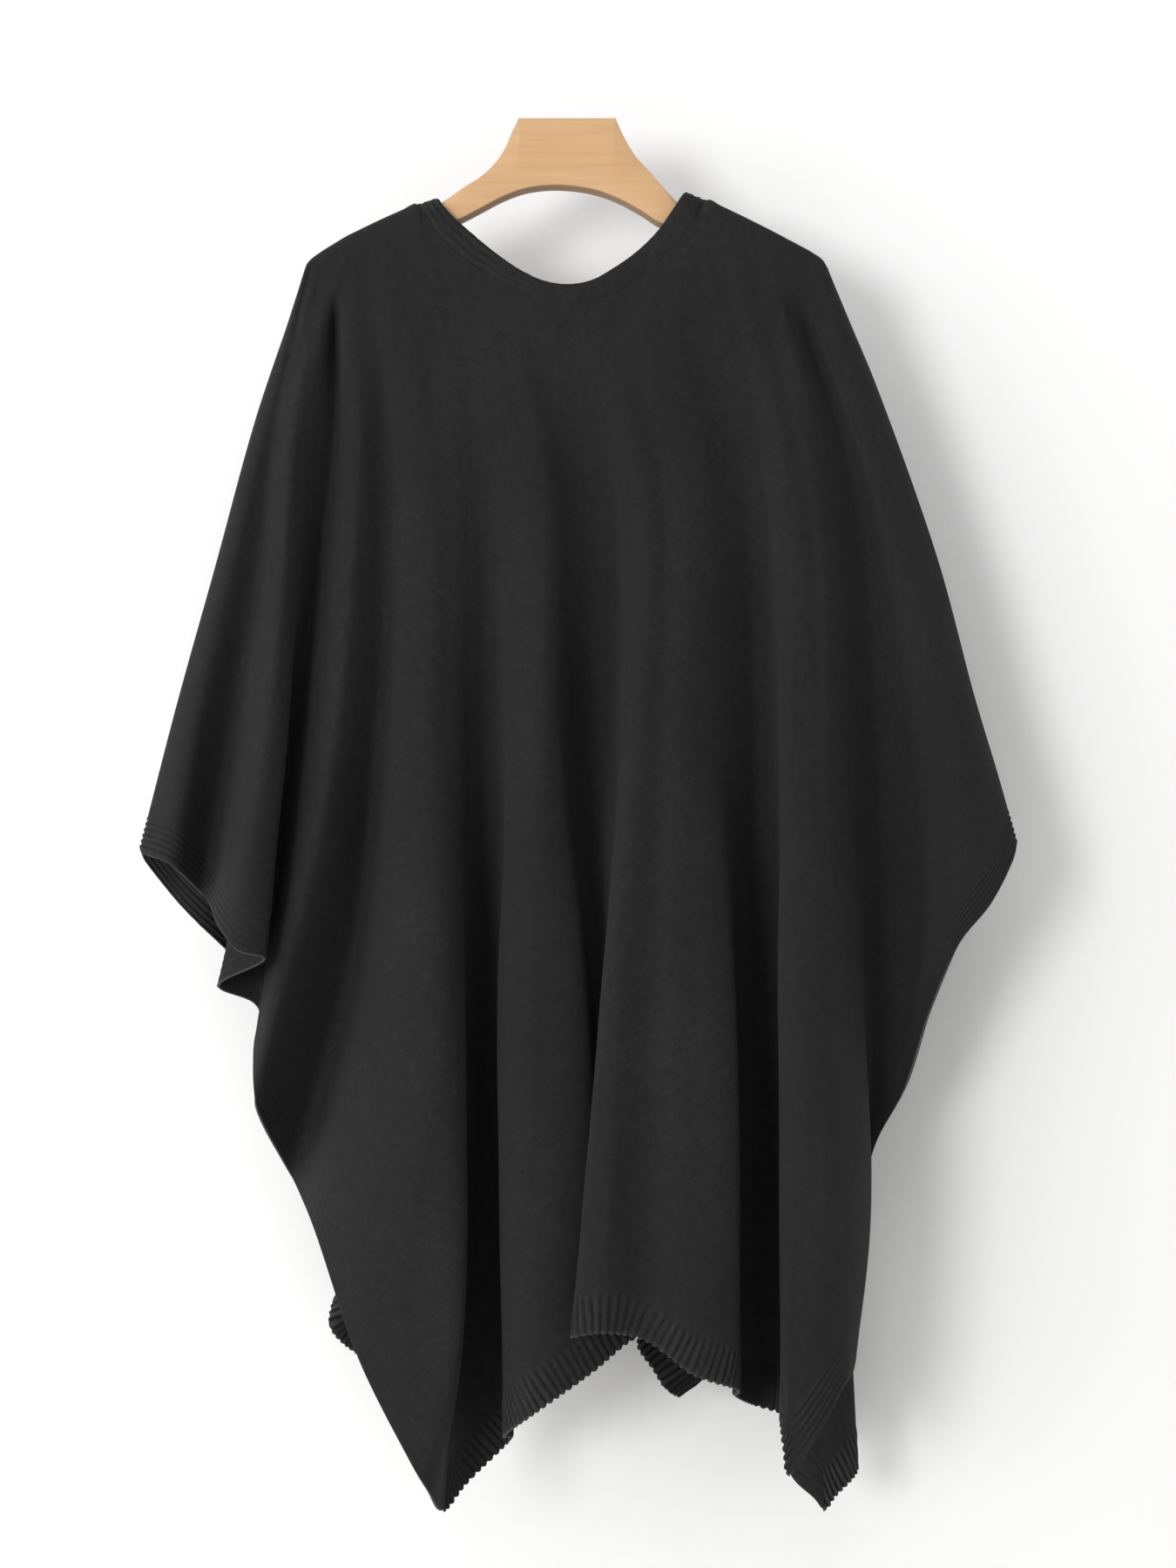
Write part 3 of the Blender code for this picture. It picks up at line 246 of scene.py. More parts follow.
def top_points(fold, side):
    """The first points of a fold, from the shoulder line or, at the back, from the neck seam."""
    across, upper = fold.top, np.array(place(*fold.upper, side))
    high = high_point(fold, side)
    aim = upper if high is None else high
    if side < 0 and NECK_SEAM[0].across < across < NECK_SEAM[-1].across:
        down, out = neck_at(NECK_SEAM, across)
        first = place(across, down, out, side)
        second = first + (upper - first) * 0.12
        second[1] = side * (max(out, 14.4) + 1.5) / 1000
        return [first, second]
    first = place(across, down_at(SHOULDER_LEFT if across < 651 else SHOULDER_RIGHT, across), 0.15, side)
    lean = (aim[0] - first[0]) / (first[2] - aim[2])
    over_wing = SHOULDER_LEFT[0].across + WING_END - 4 < across < SHOULDER_RIGHT[-1].across - WING_END + 4
    cap = max(fold.upper[2], OVER_SHOULDER[-1][1] if over_wing else 0.15)
    return [first + np.array([lean * drop, side * (min(out, cap) - 0.15), -drop]) / 1000 for drop, out in OVER_SHOULDER]


def fold_line(fold, side, rows):
    """Points down one fold, at the given rows."""
    high = high_point(fold, side)
    points = top_points(fold, side) + ([] if high is None else [high]) + [place(*p, side) for p in fold[2:6]]
    points = np.array(points)
    # Knots by the root of the spans, so that a short span next to a long one doesn't swing the curve out.
    knots = np.concatenate([[0], np.cumsum(np.linalg.norm(np.diff(points, axis=0), axis=1) ** 0.5)])
    fine = spline(knots, points, np.linspace(0, knots[-1], 200))
    run = lengths(fine)
    at = [r / 1000 for r in TOP_ROWS]
    at = at + [at[-1] + share * (run[-1] - at[-1]) for share in rows]
    return np.stack([np.interp(at, run, fine[:, k]) for k in range(3)], -1)


def index_of(folds, name):
    return [f.name for f in folds].index(name)


# ---------------------------------------------------------------- the cut, laid flat (metres)
SHOULDER_FOLD = 1.27    # along the shoulder fold, from side edge to side edge
BACK_LENGTH = 0.835     # shoulder fold to back hem
FRONT_LENGTH = 0.885    # shoulder fold to front hem
NECK_OPENING = 0.186    # between the opening edges at the shoulder
HEM_PITCH = 0.0057      # hem ribs
SIDE_RIBS = 6           # ribs across a side band
NECK_RIBS = 3           # ribs across the neck band
OPENING_RIBS = 3        # ribs across an opening band
RIB_SHADE = 0.9         # how much paler the crests are than the grooves: partly the brushed crests' own tone, partly painted highlight on the crests and painted shade in the grooves
RIB_PROUD = 0.0007      # rib crest above the cloth's own surface
RIB_DEEP = 0.0012       # groove below it
# How strongly the side bands' ribs show, down the side edge (V in metres): they are pulled open at the cuffs.
SIDE_SHOWN = {
    "left": ((0, 1), (0.018, 0.9), (0.026, 0.4), (0.034, 0.8), (0.055, 0.8), (0.068, 0.35), (0.11, 0.4), (0.20, 0.35), (0.30, 0.15), (0.90, 0.10)),
    "right": ((0, 0.8), (0.03, 0.5), (0.14, 0.5), (0.28, 0.14), (0.70, 0.12), (0.745, 0.8), (0.785, 0.7), (0.81, 0.2), (0.90, 0.2)),
    "front": ((0, 1), (0.22, 1), (0.32, 0.4), (0.90, 0.4)),
}

# Small creases pressed or pulled into the cloth: from one drawing position to another, half-width and depth in mm.
# A depth above 0 is a ridge and below 0 a trough.
Crease = namedtuple("Crease", "a b wide deep bow")
BACK_CREASES = (
    Crease((372, 300), (330, 470), 9, -1.6, 6), Crease((392, 290), (352, 520), 11, 1.5, -5), Crease((420, 275), (398, 470), 10, -1.3, 8),
    Crease((445, 268), (432, 520), 12, 1.4, 5), Crease((500, 300), (478, 560), 12, -1.2, 10), Crease((540, 330), (520, 500), 9, 0.9, -4),
    Crease((580, 350), (585, 560), 13, -1.1, 6), Crease((640, 368), (642, 520), 10, 0.8, 0), Crease((700, 355), (706, 560), 12, -1.0, -5),
    Crease((742, 335), (772, 540), 11, 1.1, -6), Crease((790, 300), (822, 520), 12, -1.4, -8), Crease((838, 268), (872, 470), 11, 1.5, -6),
    Crease((870, 285), (920, 500), 11, -1.6, -8), Crease((908, 300), (968, 520), 10, 1.5, -10), Crease((932, 312), (1010, 560), 9, -1.4, -8),
    Crease((300, 700), (276, 900), 8, 1.0, 4), Crease((240, 800), (222, 980), 9, -1.0, 4), Crease((210, 860), (188, 1000), 7, 1.0, 3),
    Crease((480, 900), (440, 1250), 14, -1.8, -10), Crease((430, 1000), (372, 1330), 12, 1.6, -8), Crease((505, 1250), (462, 1560), 10, -1.6, 6),
    Crease((560, 1330), (548, 1560), 8, 1.1, 3), Crease((622, 1000), (612, 1420), 14, -1.5, 8), Crease((640, 1300), (650, 1500), 9, 1.3, -4),
    Crease((668, 820), (676, 1010), 8, -1.2, 3), Crease((760, 900), (765, 1300), 14, 1.3, 8), Crease((800, 1100), (812, 1450), 10, -1.5, -6),
    Crease((700, 1250), (694, 1480), 8, 1.2, 3), Crease((905, 950), (912, 1350), 10, 1.2, 5), Crease((935, 1250), (922, 1560), 9, -1.4, 5),
    Crease((1000, 700), (1010, 900), 9, -1.1, 4), Crease((1080, 720), (1105, 900), 9, 1.0, -4), Crease((1120, 900), (1105, 1040), 9, -1.2, -5),
    Crease((1050, 950), (1052, 1120), 8, 1.2, 4), Crease((985, 1100), (975, 1330), 9, -1.2, 4), Crease((330, 1050), (300, 1180), 8, 1.4, 6),
)
FRONT_CREASES = (
    Crease((360, 320), (330, 560), 9, -1.5, 6), Crease((400, 300), (380, 560), 11, 1.6, -6), Crease((440, 290), (430, 600), 12, -1.5, 8),
    Crease((470, 290), (488, 700), 13, 1.4, 6), Crease((420, 620), (395, 900), 12, -1.6, -8), Crease((520, 700), (540, 1050), 13, 1.8, 8),
    Crease((490, 950), (500, 1300), 12, -1.8, -6), Crease((560, 900), (590, 1280), 12, 1.6, 8), Crease((440, 1080), (400, 1340), 11, 1.6, -6),
    Crease((340, 760), (318, 980), 10, -1.5, 5), Crease((300, 860), (268, 1040), 9, 1.3, 4), Crease((560, 1250), (552, 1480), 10, -1.6, 5),
    Crease((820, 330), (800, 620), 11, 1.5, 5), Crease((860, 300), (872, 560), 12, -1.6, -6), Crease((900, 310), (930, 560), 11, 1.6, -8),
    Crease((932, 330), (990, 600), 10, -1.5, -8), Crease((830, 700), (822, 1080), 13, 1.7, 7), Crease((880, 760), (884, 1120), 12, -1.8, 6),
    Crease((930, 900), (928, 1240), 11, 1.6, -6), Crease((1000, 760), (1020, 980), 10, -1.4, -5), Crease((1060, 780), (1085, 960), 9, 1.3, -4),
    Crease((800, 1100), (785, 1400), 11, -1.6, 5), Crease((905, 1250), (900, 1500), 10, 1.5, 4), Crease((860, 1200), (852, 1480), 10, -1.5, -4),
)


# ---------------------------------------------------------------- fine surfaces
def column_places(folds, pitch=0.0042):
    """Places across: every fold, and enough between neighbours for an even pitch."""
    at = [0.0]
    for i, (a, b) in enumerate(zip(folds, folds[1:])):
        wide = max(np.hypot(b[k][0] - a[k][0], b[k][1] - a[k][1]) * UNIT + abs(b[k][2] - a[k][2]) / 1000 * 0.8 for k in (3, 4, 5))
        n = int(np.clip(np.ceil(wide / pitch / 2.2), 3, 11))
        at += [i + (k + 1) / n for k in range(n)]
    return np.array(at)


def at_share(grid, share):
    """Points of each column at shares (per column, 0 to 1) of its length."""
    out = np.empty((grid.shape[0], share.shape[1], 3))
    for i, line in enumerate(grid):
        run = lengths(line)
        for k in range(3):
            out[i, :, k] = np.interp(share[i] * run[-1], run, line[:, k])
    return out


def along_line(points, at, new):
    return np.stack([np.interp(new, at, points[:, k]) for k in range(points.shape[1])], -1)


def drawing_of(points, side):
    """Drawing positions of world points."""
    near = (EYE_DISTANCE - HANGER_THICK / 2) / EYE_DISTANCE
    reach = (EYE_DISTANCE + points[..., 1]) / EYE_DISTANCE
    across = EYE_AT[0] + (points[..., 0] - (EYE_AT[0] - ORIGIN_AT[0]) * UNIT * near) / (UNIT * reach)
    down = EYE_AT[1] - (points[..., 2] - (ORIGIN_AT[1] - EYE_AT[1]) * UNIT * near) / (UNIT * reach)
    return across, down


def normals(grid, side):
    du, dv = np.gradient(grid, axis=0), np.gradient(grid, axis=1)
    n = np.cross(du, dv)
    size = np.linalg.norm(n, axis=2, keepdims=True)
    n = n / np.maximum(size, 1e-12)
    return n if (n[..., 1].mean() * side) > 0 else -n


def creased(grid, normal, side, creases, strength=1.0):
    """Adds the small creases, and a slow unevenness, along the normals."""
    across, down = drawing_of(grid, side)
    lift = np.zeros(grid.shape[:2])
    for c in creases:
        a, b = np.array(c.a, float), np.array(c.b, float)
        line = b - a
        size = np.hypot(*line)
        t = ((across - a[0]) * line[0] + (down - a[1]) * line[1]) / size**2
        off = ((across - a[0]) * line[1] - (down - a[1]) * line[0]) / size - c.bow * np.sin(np.pi * np.clip(t, 0, 1))
        fade = np.clip(1 - np.abs(2 * t - 1), 0, 1) ** 0.6
        lift += c.deep * fade * np.exp(-((off * UNIT * 1000 / (c.wide * (0.6 + 0.5 * np.clip(t, 0, 1)))) ** 2))
    x, z = grid[..., 0] * 1000, grid[..., 2] * 1000
    slow = 0.35 * np.sin(x / 23 + 1.7 * np.sin(z / 61)) * np.sin(z / 47 + x / 90) + 0.22 * np.sin(x / 11 + z / 37 + 2 * np.sin(z / 83))
    hold = np.clip((np.abs(grid[..., 1]) * 1000 - 4) / 14, 0, 1)  # nothing moves where the cloth is held
    return grid + normal * ((lift * strength + slow) * hold / 1000)[..., None]


def rib(phase):
    """Height of a rib at a phase in turns: a round crest with a narrower groove."""
    return -RIB_DEEP + (RIB_DEEP + RIB_PROUD) * np.abs(np.cos(np.pi * phase)) ** 0.75


def smooth(x):
    x = np.clip(x, 0, 1)
    return x * x * (3 - 2 * x)


def cloth(name, grid, normal, uv, look, ends=(), edges=(), lift=None, tint=None, edge_highlight=2.6, thick=WALL):
    """Closed thin shell on a grid [across, down]: outer face on the grid, wall turned inwards.
    ends: 'top', 'bottom' are rounded free edges; edges: 'first', 'last' columns likewise.
    tint scales the knit's tone, partly its own and partly painted light and shade; the value along a free edge is a
    painted highlight, where loose fibre catches the light."""
    columns, rows = grid.shape[:2]
    if lift is None:
        lift = np.zeros((columns, rows))
    if tint is None:
        tint = np.ones((columns, rows))
    middle = grid - normal * thick / 2 + normal * lift[..., None]
    half = np.full((columns, rows), thick / 2)
    for edge in edges:
        line = grid if edge == "first" else grid[::-1]
        away = np.concatenate([[0], np.cumsum(np.linalg.norm(np.diff(line, axis=0), axis=2).mean(1))])
        share = np.clip(away / (thick / 2), 0.12, 1)
        narrow = np.sqrt(1 - (1 - share) ** 2)
        half *= (narrow if edge == "first" else narrow[::-1])[:, None]
    outer, inner = middle + normal * half[..., None], middle - normal * half[..., None]
    loops, uvs, tints = [], [], []
    for i in range(columns):
        down_end = grid[i, -1] - grid[i, -2]
        down_end /= max(np.linalg.norm(down_end), 1e-9)
        up_end = grid[i, 0] - grid[i, 1]
        up_end /= max(np.linalg.norm(up_end), 1e-9)
        ring, flat, shade = list(outer[i]), list(uv[i]), list(tint[i])
        # the rounded free edges take the painted highlight
        if "bottom" in ends:
            for a in (35, 90, 145):
                r = half[i, -1]
                shade.append(edge_highlight * tint[i, -1])
                ring.append(middle[i, -1] + normal[i, -1] * r * math.cos(math.radians(a)) + down_end * r * math.sin(math.radians(a)))
                flat.append(uv[i, -1])
        ring += list(inner[i, ::-1])
        flat += list(uv[i, ::-1])
        shade += list(tint[i, ::-1])
        if "top" in ends:
            for a in (145, 90, 35):
                r = half[i, 0]
                shade.append(edge_highlight * tint[i, 0])
                ring.append(middle[i, 0] + normal[i, 0] * r * math.cos(math.radians(a)) + up_end * r * math.sin(math.radians(a)))
                flat.append(uv[i, 0])
        loops.append(ring)
        uvs.append(flat)
        tints.append(shade)
    points, flat = np.array(loops), np.array(uvs)
    size = points.shape[1]
    extra = 3 if "bottom" in ends else 0
    faces = []
    for i in range(columns - 1):
        for m in range(size):
            n = (m + 1) % size
            faces.append((i * size + m, i * size + n, (i + 1) * size + n, (i + 1) * size + m))
    # the two end caps, as strips between the faces of the wall
    for i, turn in ((0, True), (columns - 1, False)):
        base = i * size
        pairs = [(j, 2 * rows + extra - 1 - j) for j in range(rows)]
        for (a, b), (c, d) in zip(pairs, pairs[1:]):
            quad = (base + a, base + b, base + d, base + c)
            faces.append(quad if not turn else quad[::-1])
        if extra:
            f = [base + rows - 1, base + rows, base + rows + 1, base + rows + 2, base + rows + 3]
            faces.append(tuple(f if not turn else f[::-1]))
        if "top" in ends:
            f = [base + size - 4, base + size - 3, base + size - 2, base + size - 1, base]
            faces.append(tuple(f if not turn else f[::-1]))
    mesh = bpy.data.meshes.new(name)
    verts = points.reshape(-1, 3)
    mesh.from_pydata(verts.tolist(), [], faces)
    # Faces look out where the signed volume is above 0.
    mesh.calc_loop_triangles()
    tri = np.empty(len(mesh.loop_triangles) * 3, np.int32)
    mesh.loop_triangles.foreach_get("vertices", tri)
    t = verts[tri.reshape(-1, 3)]
    if np.einsum("ij,ij->i", t[:, 0], np.cross(t[:, 1], t[:, 2])).sum() < 0:
        mesh.flip_normals()
    layer = mesh.uv_layers.new(name="cut")
    loop_vertex = np.empty(len(mesh.loops), np.int32)
    mesh.loops.foreach_get("vertex_index", loop_vertex)
    layer.data.foreach_set("uv", flat.reshape(-1, 2)[loop_vertex].astype(np.float32).ravel())
    tone = mesh.attributes.new("tint", "FLOAT", "POINT")
    tone.data.foreach_set("value", np.array(tints, np.float32).ravel())
    mesh.materials.append(look)
    mesh.shade_smooth()
    mesh.set_sharp_from_angle(angle=1.0)
    obj = bpy.data.objects.new(name, mesh)
    bpy.context.scene.collection.objects.link(obj)
    return obj


def make_panel(name, folds, side, corners, length, creases, seam=None):
    """The panel and its bands, all from one fine surface. Returns {part: object}."""
    at = column_places(folds)
    bounds = [float(index_of(folds, c)) for c in corners]
    for b in bounds:
        at = np.sort(np.concatenate([at[np.abs(at - b) > 1e-6], [b - 1e-4, b + 1e-4]]))
    seam_at = float(index_of(folds, seam)) if seam else at[-1]
    if seam:
        at = np.sort(np.concatenate([at[at <= seam_at + 1e-9], seam_at + (np.arange(1, 6 * OPENING_RIBS + 1) / (6 * OPENING_RIBS))]))
    lines = np.array([fold_line(f, side, FINE_DOWN) for f in folds])
    gap = np.linalg.norm(np.diff(lines, axis=0), axis=2)[:, COARSE_LIKE].mean(1) ** 0.5
    knots = np.concatenate([[0], np.cumsum(gap)])
    grid = spline(knots, lines.reshape(len(lines), -1), np.interp(at, np.arange(len(folds)), knots)).reshape(len(at), lines.shape[1], 3)
    tops = np.interp(at, np.arange(len(folds)), [f.top for f in folds])
    on_shoulder = (tops <= NECK_SEAM[0].across) | (tops >= NECK_SEAM[-1].across) | (side > 0)
    grid[on_shoulder, 0, 1] = side * 0.00005
    grid = creased(grid, normals(grid, side), side, creases)
    grid[on_shoulder, 0, 1] = side * 0.00005

    # Flat places of the columns' two ends.
    run = np.array([lengths(line)[-1] for line in grid])
    edge_run = lengths(grid[:, -1])
    arm = run[0]
    if side < 0:
        u_top = arm + (tops - tops[0]) / (tops[-1] - tops[0]) * (SHOULDER_FOLD - arm - run[-1])
        neck = np.array([neck_at(NECK_SEAM, t)[0] if not s else 0 for t, s in zip(tops, on_shoulder)])
        v_top = np.where(on_shoulder, 0, np.maximum(neck - 234, 0) * UNIT)
        left, right = (np.interp(b, at, edge_run) for b in bounds)
        u_end = np.clip((edge_run - left) / (right - left), 0, 1) * SHOULDER_FOLD
        v_end = np.where(at < bounds[0], edge_run / left, np.where(at > bounds[1], (edge_run[-1] - edge_run) / (edge_run[-1] - right), 1)) * length
        width = SHOULDER_FOLD
    else:
        width = (SHOULDER_FOLD - NECK_OPENING) / 2
        u_top = arm + np.abs(tops - tops[0]) / abs(tops[-1] - tops[0]) * (width - arm)
        v_top = np.zeros(len(at))
        corner = np.interp(bounds[0], at, edge_run)
        u_end = np.clip((edge_run - corner) / (edge_run[-1] - corner), 0, 1) * width
        v_end = np.where(at < bounds[0], edge_run / corner, 1) * length
    hem_run = (right - left) if side < 0 else (edge_run[-1] - corner)
    turns = round(hem_run / HEM_PITCH) / width  # ribs a metre of the flat width

    # Share of each column at which its band starts.
    is_left = at < bounds[0]
    is_right = (at > bounds[1]) if len(bounds) > 1 else np.zeros(len(at), bool)
    start = np.where(is_left, 1 - SIDE_RIB / np.maximum(u_top, 0.03),
            np.where(is_right, 1 - SIDE_RIB / np.maximum(width - u_top, 0.03), (length - HEM_RIB - v_top) / (length - v_top)))
    made = {}

    def body_rows(columns, stop, count):
        first = np.linspace(0, 1, 12) * 0.034 / run[columns][:, None]
        rest = first[:, -1:] + (stop[:, None] - first[:, -1:]) * np.linspace(0, 1, count)[None, 1:]
        return np.concatenate([first, rest], 1)

    # the panel
    columns = np.where(at <= seam_at + 1e-9)[0]
    share = body_rows(columns, start[columns], 104)
    sheet = at_share(grid[columns], share)
    n = normals(sheet, side)
    uv = np.stack([u_top[columns, None] + (u_end - u_top)[columns, None] * share, v_top[columns, None] + (v_end - v_top)[columns, None] * share], -1)
    # It carries its outer face over the shoulder fold and meets the fronts there.
    made[name] = cloth(name + "_knit", sheet, n, uv, KNIT)

    # hem band: rows of equal V. Its ribs stand square to the hem edge, wherever a fold makes the columns slant to it.
    hem_cols = np.where((at > bounds[0]) & ((at < bounds[1]) if len(bounds) > 1 else (at <= seam_at + 1e-9)))[0]
    levels = np.linspace(length - HEM_RIB, length, 14)
    along_hem = np.gradient(grid[hem_cols, -1], axis=0)
    along_hem /= np.linalg.norm(along_hem, axis=1, keepdims=True)
    down_end = grid[hem_cols, -1] - grid[hem_cols, -4]
    down_end /= np.linalg.norm(down_end, axis=1, keepdims=True)
    slant = np.einsum("ij,ij->i", along_hem, down_end)
    slant = np.convolve(np.pad(slant, 4, mode="edge"), np.hanning(11)[1:-1] / np.hanning(11).sum(), "valid")
    per_run = width / hem_run
    rows = []
    for v in levels:
        s = (v - v_top[hem_cols]) / (length - v_top[hem_cols])
        p = at_share(grid[hem_cols], s[:, None])[:, 0]
        u = np.maximum.accumulate(u_end[hem_cols] - (1 - s) * run[hem_cols] * slant * per_run + np.arange(len(hem_cols)) * 1e-7)
        rows.append((p, u))
    low, high = min(u[0] for _, u in rows), max(u[-1] for _, u in rows)
    common = np.linspace(low, high, int((high - low) / per_run / HEM_PITCH * 8))
    step = np.arange(len(common)) * 2e-6
    placed = [np.clip(common, u[0] + step, u[-1] - step[::-1]) for _, u in rows]
    hem = np.stack([along_line(p, u, new) for (p, u), new in zip(rows, placed)], 1)
    hem_u = np.stack(placed, 1)
    hem_v = np.broadcast_to(levels, hem_u.shape)
    fade = smooth((hem_v - (length - HEM_RIB)) / (HEM_RIB * 0.30))
    uneven = 0.82 + 0.18 * np.sin(hem_u * 61 + 2 * np.sin(hem_u * 23))
    phase = hem_u * turns + 0.10 * np.sin(hem_u * 37) + 0.06 * np.sin(hem_u * 171 + hem_v * 90)
    crest = np.abs(np.cos(np.pi * phase))
    n = normals(hem, side)
    # crests of the ribs end a little lower than the grooves
    drop = hem[:, -1] - hem[:, -2]
    drop /= np.linalg.norm(drop, axis=1, keepdims=True)
    hem[:, -1] += drop * (0.0015 * crest[:, -1])[:, None]
    label = {"back_panel": "rib_hem_back", "front_left": "rib_hem_front_left", "front_right": "rib_hem_front_right"}[name]
    # the fronts' hems are seen from their inside: their rib crests get a strong painted highlight and their grooves
    # painted shade, so that they stand out against the shaded cloth above
    contrast, dark = (3.0, 0.42) if side > 0 else (1.0, 0.55)
    tint = np.maximum(0.15, 1 + fade * uneven * RIB_SHADE * contrast * (crest ** 1.2 - dark))
    if side < 0:  # in the deep fold at the right the ribs lie in full shade
        shaded = smooth((hem[..., 0] - 0.116) / 0.008) * smooth((0.160 - hem[..., 0]) / 0.006) * smooth((hem[..., 1] + 0.03) / 0.02)
        tint = tint * (1 - shaded) + 0.75 * shaded
    # painted highlight along the hem's free edge
    tint[:, -1] *= 1.35
    made[label] = cloth(label + "_knit", hem, n, np.stack([hem_u, hem_v], -1), RIB, ends=("bottom",), lift=rib(phase) * fade * uneven, tint=tint)

    # side bands: rows of equal U, columns of equal V
    sides = [("left", np.where(is_left)[0])] + ([("right", np.where(is_right)[0])] if side < 0 else [])
    for which, cols in sides:
        if which == "right":
            cols = cols[::-1]
        to_edge = (width - u_top[cols]) if which == "right" else u_top[cols]
        rows = []
        levels = np.linspace(SIDE_RIB, 0, 7 * SIDE_RIBS + 1)
        count = 230
        for d in levels:
            s = 1 - d / to_edge
            p = at_share(grid[cols], s[:, None])[:, 0]
            v = v_top[cols] + s * (v_end - v_top)[cols]
            new = np.linspace(v[0], v[-1], count)
            rows.append((along_line(p, v, new), new))
        band = np.stack([r[0] for r in rows], 1)
        band_v = np.stack([r[1] for r in rows], 1)
        d = np.broadcast_to(levels, band_v.shape)
        band_u = width - d if which == "right" else d
        shown = SIDE_SHOWN["front" if side > 0 else which]
        strength = np.interp(band_v, *zip(*shown)) * (0.8 + 0.2 * np.sin(band_v * 47 + 3 * d / SIDE_RIB))
        fade = smooth((SIDE_RIB - d) / (SIDE_RIB * 0.12)) * strength
        phase = d / SIDE_RIB * SIDE_RIBS + 0.5
        lift = 0.85 * rib(phase) * fade
        # painted light and shade on the inside of a front's band: brighter at the arm's opening, where light reaches
        # in, and darker low down behind the back's corner, where it lies in shade
        base = np.linspace(1.5, 0.5 if name == "front_left" else 1.0, len(band))[:, None] if side > 0 else 1.0
        tint = base + fade * RIB_SHADE * (np.abs(np.cos(np.pi * phase)) - 0.6)
        # painted highlight along the band's free edge, and a stronger one on its rounded edge
        tint[:, -1] *= 1.35
        label = {"back_panel": "rib_side_back_" + which, "front_left": "rib_side_front_left", "front_right": "rib_side_front_right"}[name]
        made[label] = cloth(label + "_knit", band, normals(band, side), np.stack([band_u, band_v], -1), RIB, ends=("bottom",), lift=lift, tint=tint, edge_highlight=4.0)

    if seam:  # the opening band runs the whole length, with its ribs along it
        columns = np.where(at >= seam_at - 1e-9)[0]
        share = body_rows(columns, np.ones(len(columns)), 116)
        sheet = at_share(grid[columns], share)
        across = (at[columns] - seam_at)[:, None] * np.ones(share.shape[1])
        uv = np.stack([u_top[columns, None] + (u_end - u_top)[columns, None] * share, v_top[columns, None] + (v_end - v_top)[columns, None] * share], -1)
        lift = 0.8 * rib(across * OPENING_RIBS + 0.5)
        # painted highlight on the rib crests and painted shade in the grooves
        tint = 1 + RIB_SHADE * (np.abs(np.cos(np.pi * (across * OPENING_RIBS + 0.5))) - 0.6)
        made["band_" + name] = cloth("band_" + name + "_knit", sheet, normals(sheet, side), uv, RIB, ends=("bottom",), edges=("last",), lift=lift, tint=tint)
    if side < 0:  # neck band, from the seam up to its free edge
        columns = np.where(~on_shoulder | (np.abs(tops - NECK_SEAM[0].across) < 1e-6) | (np.abs(tops - NECK_SEAM[-1].across) < 1e-6))[0]
        top = grid[columns, 0]
        edge = np.array([place(*p, side) for p in NECK_EDGE])
        fine_edge = spline(lengths(edge), edge, np.linspace(0, lengths(edge)[-1], 400))
        seam_line = np.array([place(*p, side) for p in NECK_SEAM])
        seam_fine = spline(lengths(seam_line), seam_line, np.linspace(0, lengths(seam_line)[-1], 400))
        q = np.linspace(0, 1, 150)
        low = along_line(top, lengths(top) / lengths(top)[-1], q)
        high = along_line(fine_edge, lengths(fine_edge) / lengths(fine_edge)[-1], q)
        t = np.linspace(0, 1, 8 * NECK_RIBS + 1)
        band = low[:, None] * (1 - t)[None, :, None] + high[:, None] * t[None, :, None]
        n = normals(band, side)
        bulge = 0.0008 * np.sin(np.pi * t)[None, :] * np.ones((len(q), 1))
        ends = np.minimum(1, np.minimum(q, 1 - q) / 0.03)[:, None]
        # the ribs stand out at the left, where the band is stretched, and fade towards the right
        shown = (0.18 + 0.62 * smooth((0.50 - q) / 0.25)) * (0.65 + 0.35 * np.sin(q * 95 + 2 * np.sin(q * 31)))
        phase = t[None, :] * NECK_RIBS + 0.5 + 0.10 * np.sin(q * 60)[:, None] * np.sin(np.pi * t)[None, :]
        rough = 0.0003 * np.sin(q[:, None] * 310 + 4 * t[None, :]) * np.sin(q[:, None] * 87 + 9 * t[None, :])
        lift = (bulge + 0.9 * rib(phase) * shown[:, None] + rough) * ends
        # painted highlight on the rib crests and painted shade in the grooves; the free edge gets a painted highlight
        tint = 1 + RIB_SHADE * shown[:, None] * (np.abs(np.cos(np.pi * phase)) - 0.6)
        uv = np.stack([np.broadcast_to(t * 0.014, lift.shape), np.broadcast_to(q[:, None] * 0.3, lift.shape)], -1)
        made["neck_band"] = cloth("neck_band_knit", band, n, uv, RIB, ends=("bottom",), lift=lift, tint=tint, edge_highlight=2.0)
    return made


# ---------------------------------------------------------------- materials
def shader_of(name):
    made = bpy.data.materials.new(name)
    made.use_nodes = True
    return made, made.node_tree, made.node_tree.nodes["Principled BSDF"]


def math_node(tree, operation, a, b=None, c=None):
    node = tree.nodes.new("ShaderNodeMath")
    node.operation = operation
    for socket, value in zip(node.inputs, (a, b, c)):
        if value is None:
            continue
        if isinstance(value, (int, float)):
            socket.default_value = value
        else:
            tree.links.new(value, socket)
    return node.outputs[0]


